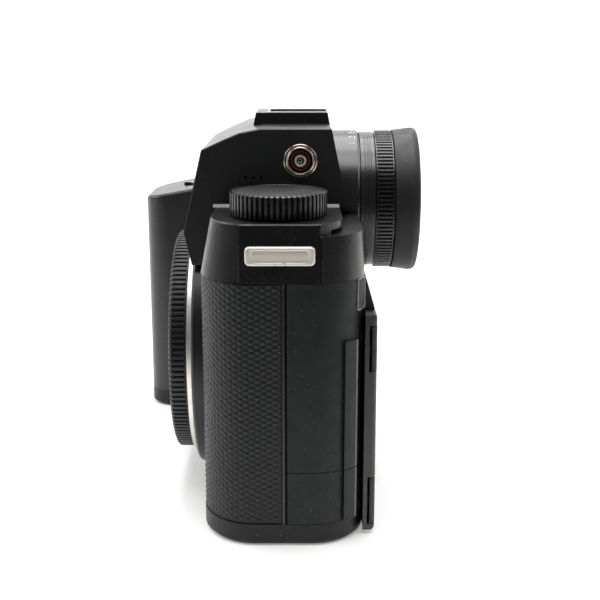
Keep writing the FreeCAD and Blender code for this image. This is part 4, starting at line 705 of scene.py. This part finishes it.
def eyepiece():
    """The dioptre ring, the barrel with its grooves, and the eyecup."""
    count = 104
    profile = [(18.05, 29.4), (21.35, 29.4), (21.45, 29.5), (21.45, 29.8), (22.1, 29.8), (22.1, 34.7),
               (21.45, 34.7), (21.45, 35.0), (21.35, 35.1), (18.05, 35.1)]
    turned_piece("ridged_ring", "dioptre", "barrel_black", "dioptre_ring", eye_centre, "y", profile,
                 count * 10, ridges(count, depth=0.55, crest=0.52, rows=(4, 5)))
    profile = [(15.5, 12.5), (22.2, 12.5), (22.2, 23.75), (21.9, 24.1), (20.7, 24.15), (20.7, 24.5),
               (21.4, 24.5), (21.6, 24.7), (21.6, 25.9), (21.52, 25.98), (21.52, 26.1), (21.6, 26.18),
               (21.6, 26.75), (21.45, 26.85), (21.45, 27.15), (21.6, 27.25), (21.6, 27.75), (21.53, 27.83),
               (21.53, 27.93), (21.6, 28.0), (21.6, 29.1), (21.45, 29.25), (18.0, 29.25), (18.0, 38.5),
               (15.5, 38.5)]
    turned_piece("eyepiece_tube", "body", "barrel_black", "eyepiece_barrel", eye_centre, "y", profile, 192,
                 smooth=30)
    corners = [(18.02, 35.25, 0), (22.3, 35.2, 0.35), (22.55, 37.5, 3.0), (23.05, 41.0, 2.0),
               (22.75, 43.0, 1.3), (20.75, 43.0, 0.35), (19.2, 41.4, 2.0), (14.6, 39.7, 0.5),
               (14.6, 38.55, 0.3), (18.02, 38.55, 0)]
    turned_piece("soft_eyecup", "body", "eyecup_rubber", "eyecup", eye_centre, "y", rounded(corners), 160,
                 smooth=50)


def dial_and_wheel():
    """The shutter speed dial with its top painted lighter, and the thumb wheel."""
    count = 54
    profile = [(12.6, 99.9), (12.7, 100.1), (12.85, 100.2), (13.35, 100.2), (13.48, 100.18), (13.9, 99.87),
               (13.9, 94.0), (13.75, 93.65), (13.4, 93.5), (2.0, 93.5), (2.0, 85.0), (0, 85.0)]
    turned_piece("fluted_dial", "dial", "dial_metal", "speed_dial", dial_centre, "z", profile, count * 12,
                 ridges(count, depth=0.72, crest=0.55, rows=range(3, 9)))
    profile = [(0, 100.1), (12.1, 100.1), (12.5, 100.0), (12.65, 99.8), (12.65, 99.3), (0, 99.3)]
    turned_piece("dial_top", "dial", "dial_metal", "speed_dial", dial_centre, "z", profile, 128,
                 look=lit_matte_top)
    count = 40
    profile = [(0, 91.0), (1.5, 91.0), (1.5, 86.4), (7.4, 86.4), (7.8, 86.2), (8.0, 85.8), (8.0, 81.0),
               (7.8, 80.6), (7.4, 80.4), (1.5, 80.4), (1.5, 77.25), (0, 77.25)]
    turned_piece("fluted_wheel", "wheel", "dial_metal", "thumb_wheel", wheel_centre, "z", profile,
                 count * 10, ridges(count, depth=0.6, crest=0.5, rows=range(4, 8)))


def sync_socket():
    """The flash sync socket: two rings, the brown well, the tube in it, its core and its pin."""
    parts = [
        ("sync_ring", warm_reflection_metal, 96, [(3.9, -5.1), (3.9, -0.3), (5.1, -0.3), (5.1, 0.1), (5.02, 0.4),
                                   (4.8, 0.62), (4.55, 0.66), (4.4, 0.5), (4.33, 0.2)]),
        ("sync_rim", looks["nickel"], 96, [(4.3, -0.2), (4.27, 0.45), (4.2, 0.7), (4.05, 0.86), (3.85, 0.9),
                                           (3.68, 0.8), (3.58, 0.5), (3.52, -0.2), (3.5, -5.0),
                                           (3.85, -5.0), (3.85, -0.2)]),
        ("sync_well", copper, 96, [(3.5, -0.5), (3.42, -0.9), (3.1, -2.2), (2.98, -2.3), (2.95, -0.95),
                                   (2.85, -0.7), (2.65, -0.65), (2.52, -0.9), (2.48, -2.8), (2.1, -2.9),
                                   (2.05, -1.5), (1.9, -1.35), (1.76, -1.4), (1.72, -4.6), (3.5, -4.6)]),
        ("sync_tube", bright_nickel, 64, [(1.12, -4.4), (1.75, -4.4), (1.75, 0.2), (1.68, 0.38), (1.5, 0.45),
                                          (1.28, 0.42), (1.15, 0.25), (1.12, 0.0)]),
        ("sync_core", looks["inner_black"], 64, [(0, -1.6), (0.42, -1.6), (0.44, -0.4), (1.08, -0.35),
                                                 (1.1, -4.2), (0, -4.2)]),
        ("sync_pin", frosted, 48, [(0.44, -1.2), (0.44, -0.15), (0.52, -0.05), (0.62, -0.12), (0.66, -1.2)]),
    ]
    for name, look, count, profile in parts:
        turned_piece(name, "body", "nickel", "sync_socket", sync_centre, "x", profile, count, look=look)


ridged_cap()
eyepiece()
dial_and_wheel()
sync_socket()


# Edges and panels

def hump_feet():
    """A round foot on each side, where the prism housing meets the shoulders, painted pale: a painted
    highlight line.
    """
    ends = (-20.0, 17.6)
    for side, name in ((1, "left"), (-1, "right")):
        section = [(side * (hump_x + out), shoulder_z + up)
                   for out, up in ((-0.3, -0.3), (1.0, -0.3), (1.0, 0.01), (0.02, 0.87), (-0.3, 0.87))]
        strip("hump_foot_" + name, "body", highlight_paint, "y", ends, section)


def facet_panel():
    """A flat panel on the top cover's left end, with crisp edges round the strap lug, in paint darker than the
    satin paint: a painted shade.
    """
    foot_x = span("top_cover", "x")[1]
    lean = 2.1 / 15.5  # inward, for each mm up
    front, rear = -10.8, 12.2
    low_z, middle_z, step_z, high_z = shell_z + 0.12, 85, 90.0, shoulder_z - 0.2
    outline = [(front, low_z), (rear, low_z), (rear, step_z - 0.25), (rear - 0.8, step_z),
               (rear - 0.9, high_z), (front, high_z)]
    panel = Shape()
    panel.stack([[(foot_x - lean * (z - shell_z) + out, y - math.copysign(inset, y),
                   z - math.copysign(inset, z - middle_z)) for y, z in outline]
                 for inset, out in ((0.0, -0.9), (0.0, 0.2), (0.08, 0.28))])
    panel.make("facet_panel", "body", shaded_facet_paint, smooth=20)


def display_edge():
    """A painted highlight: a pale strip on the left top corner edge of the display housing."""
    side_x, top_z = span("display_housing", "x")[1], span("display_housing", "z")[1]
    front = span("display_housing", "y")[0] + 0.05
    section = [(side_x + out, top_z + up)
               for out, up in ((-0.8, -0.7), (0.03, -0.7), (0.03, -0.5), (-0.55, 0.03), (-0.8, 0.03))]
    strip("display_edge", "body", highlight_paint, "y", (front, front + 2.55), section)


def ridge_edges():
    """The rear edge of the finger ridge on both port doors, painted pale: partly wear, partly a painted
    highlight.

    Its section is radius and degrees round the rear corner.
    """
    ridge_top_z = 60.2
    upper_z = (span("port_door_upper", "z")[0] + 0.1, ridge_top_z - 0.05)
    lower_z = [z + gap for z, gap in zip(span("port_door_lower", "z"), (0.1, -0.1))]
    section = [(rear_corner_x + r * math.cos(math.radians(t)), rear_corner_y + r * math.sin(math.radians(t)))
               for r, t in ((15.8, 51.3), (15.93, 51.6), (15.97, 53.0), (15.96, 54.0), (15.85, 54.4),
                            (15.5, 54.6))]
    for name, ends in (("upper", upper_z), ("lower", lower_z)):
        strip("ridge_edge_" + name, "door_" + name, worn_highlight_rubber, "z", ends, section)


hump_feet()
facet_panel()
display_edge()
ridge_edges()


# Strap lugs and the corner pad's rim

def frame_loop(y, z, inset, corner, x=0.0):
    """A rounded rectangle across Y and Z with the same number of points at any size."""
    corner = max(corner - inset, 0.15)
    steps = 8
    loop = []
    for cy, cz, start in ((y[1], z[1], 0), (y[0], z[1], 90), (y[0], z[0], 180), (y[1], z[0], 270)):
        sy, sz = (1 if cy == y[1] else -1), (1 if cz == z[1] else -1)
        for k in range(steps + 1):
            t = math.radians(start + k * 90 / steps)
            loop.append((x, cy - sy * (inset + corner) + corner * math.cos(t),
                         cz - sz * (inset + corner) + corner * math.sin(t)))
    return loop


def strap_lug(name, node, side, end, frame_look, field_look):
    """A bright frame, the field sunk in it and the stem behind. end is the frame's width at its ends."""
    y, z = span(node, "y"), span(node, "z")
    thick, rail = 3.25, 0.9  # the frame's depth, and its width above and below
    stem_half, stem_in, stem_long = 2.95, 0.95, 3.9  # half width, step in above and below, length
    face_x = span(node, "x")[1 if side > 0 else 0]
    back_x = face_x - side * thick
    field_y, field_z = (y[0] + end, y[1] - end), (z[0] + rail, z[1] - rail)
    outer = [frame_loop(y, z, inset, 1.3, face_x - side * depth)
             for depth, inset in ((thick, 0.0), (0.45, 0.0), (0.2, 0.08), (0.05, 0.25), (0.0, 0.45))]
    inner = [frame_loop(field_y, field_z, inset, 0.7, face_x - side * depth)
             for depth, inset in ((0.0, -0.12), (0.08, 0.0), (0.5, 0.06))]
    frame_piece = Shape()
    frame_piece.stack(outer + inner)
    frame_piece.make(name, "body", frame_look, [node], smooth=50)
    field = Shape()
    field.stack([frame_loop(field_y, field_z, inset, 0.6, face_x - side * depth)
                 for depth, inset in ((0.55, 0.02), (0.44, 0.03), (0.4, 0.15))])
    field.make(name + "_field", "body", field_look, [node], smooth=50)
    middle = sum(y) / 2
    stem_y, stem_z = (middle - stem_half, middle + stem_half), (z[0] + stem_in, z[1] - stem_in)
    stem = Shape()
    stem.stack([[(x, stem_y[0], stem_z[0]), (x, stem_y[1], stem_z[0]), (x, stem_y[1], stem_z[1]),
                 (x, stem_y[0], stem_z[1])] for x in (back_x - side * stem_long, back_x + side * 0.1)])
    stem.make(name + "_stem", "body", looks["nickel"], [node], smooth=30)


def corner_rim():
    """A ridge round the corner pad, painted pale: a painted rim highlight."""
    reach = 0.05
    width, height = ((-reach, size + reach) for size in corner_pad_size)
    rim = Shape()
    rim.grid(np.array([[corner_place(u, v, h) for _, u, v in frame_loop(width, height, inset, corner_pad_r)]
                       for inset, h in ((0.34, 0.3), (0.18, 0.46), (0.0, 0.2), (0.12, -0.05))]),
             loop_rows=True, loop_cols=True)
    rim.make("corner_rim", "body", rim_highlight, ["leather_rear"], smooth=50)


strap_lug("lug_left", "strap_lug_left", 1, 2.0, bright_nickel, frosted)
strap_lug("lug_right", "strap_lug_right", -1, 1.75, looks["nickel"], looks["screw_steel"])
corner_rim()


def eyepiece_numbers():
    """The numbers 1 to 4 on the eyepiece, curved round it."""
    barrel_r = span("eyepiece_barrel", "x")[1]
    first, step = 59, 9.5  # degrees round the barrel
    foot_y, proud = 23.2, 0.015
    for n in range(4):
        letter = bpy.data.curves.new("mark", "FONT")
        letter.body = str(n + 1)
        letter.size = 2.9
        letter.extrude = 0.02
        letter.resolution_u = 3
        letter.align_x = "CENTER"
        holder = bpy.data.objects.new("mark", letter)
        flat = bpy.data.meshes.new_from_object(holder)
        bpy.data.objects.remove(holder)
        points = np.array([v.co[:] for v in flat.vertices])
        r = barrel_r + proud + points[:, 2]
        a = math.radians(first + n * step) + points[:, 0] / barrel_r
        mark = Shape()
        mark.add(np.stack([r * np.cos(a), foot_y - points[:, 1], eye_centre[2] + r * np.sin(a)], axis=-1))
        mark.faces = [list(face.vertices) for face in flat.polygons]
        mark.make("eyepiece_mark_%d" % (n + 1), "body", cream, ["eyepiece_barrel"])


eyepiece_numbers()


# Stage, light and camera

def backdrop():
    """A pale sweep: a flat floor that curves up far behind the camera body."""
    wall_x, bend_r, half_y = -900, 300, 4200
    wall = [(wall_x, z) for z in (1500, 500)]
    bend = [(wall_x + bend_r * (1 - math.sin(t)), bend_r * (1 - math.cos(t)))
            for t in np.linspace(math.pi / 2, 0, 14)]
    flat = [(x, 0) for x in (-400, -200, 0, 200, 500, 900)]
    columns = np.linspace(-half_y, half_y, 57)
    sweep = Shape()
    sweep.grid(np.array([[(x, y, z) for y in columns] for x, z in wall + bend + flat], float))
    mesh = bpy.data.meshes.new("sweep")
    mesh.from_pydata((np.concatenate(sweep.points) * MM).tolist(), [], sweep.faces)
    floor = bpy.data.objects.new("sweep", mesh)
    bpy.context.scene.collection.objects.link(floor)
    # The floor in front of the camera body is painted dark: a painted shade.
    mesh.materials.append(paper("sweep_paper", (0.86, 0.855, 0.845), shade_colour=(0.12, 0.12, 0.118),
                                far_x=(96.0, 270.0), glow=0.32))
    mesh.shade_smooth()


def softbox(name, place, target, size, power, colour=(1, 1, 1)):
    """A rectangular area light. Places and sizes in metres, power in watts."""
    data = bpy.data.lights.new(name, "AREA")
    data.shape = "RECTANGLE"
    data.size, data.size_y = size
    data.energy = power
    data.color = colour
    lamp = bpy.data.objects.new(name, data)
    lamp.location = place
    lamp.rotation_euler = (Vector(target) - Vector(place)).to_track_quat("-Z", "Y").to_euler()
    bpy.context.scene.collection.objects.link(lamp)


def room(colour, strength):
    """An even light from all round."""
    world = bpy.data.worlds.new("room")
    bpy.context.scene.world = world
    world.use_nodes = True
    background = world.node_tree.nodes["Background"]
    background.inputs["Color"].default_value = (*colour, 1)
    background.inputs["Strength"].default_value = strength


def photo_camera(place, tilt, lens):
    """A camera at the photo's place, looking along -X.

    place is in metres, tilt in degrees up from straight down.
    """
    data = bpy.data.cameras.new("camera")
    data.sensor_width = 36
    data.lens = lens
    data.clip_start = 0.01
    camera = bpy.data.objects.new("camera", data)
    camera.location = place
    camera.rotation_euler = (math.radians(tilt), 0, math.radians(90))
    bpy.context.scene.collection.objects.link(camera)
    bpy.context.scene.camera = camera


backdrop()
warm = (1, 0.995, 0.985)
softbox("key_front", (-0.15, -0.8, 0.6), (0, 0, 0.1), (0.7, 0.5), 4.2, warm)
softbox("fill_rear", (-0.15, 0.85, 0.6), (0, 0, 0.1), (0.7, 0.5), 3.2, warm)
softbox("top_near", (0.26, 0.0, 1.0), (0.26, 0, 0), (0.44, 0.8), 5.5)
softbox("top_far", (-0.4, 0.0, 0.98), (-0.3, 0, 0), (0.56, 0.8), 7)
softbox("backdrop_light", (-0.25, 0.0, 1.2), (-1.0, 0, 0.45), (1.6, 0.5), 4)
room(colour=(0.9, 0.95, 1.0), strength=0.11)
photo_camera(place=(0.34312, 0.0059, 0.14027), tilt=76.402, lens=63.394)
bpy.context.scene.view_settings.view_transform = "Standard"
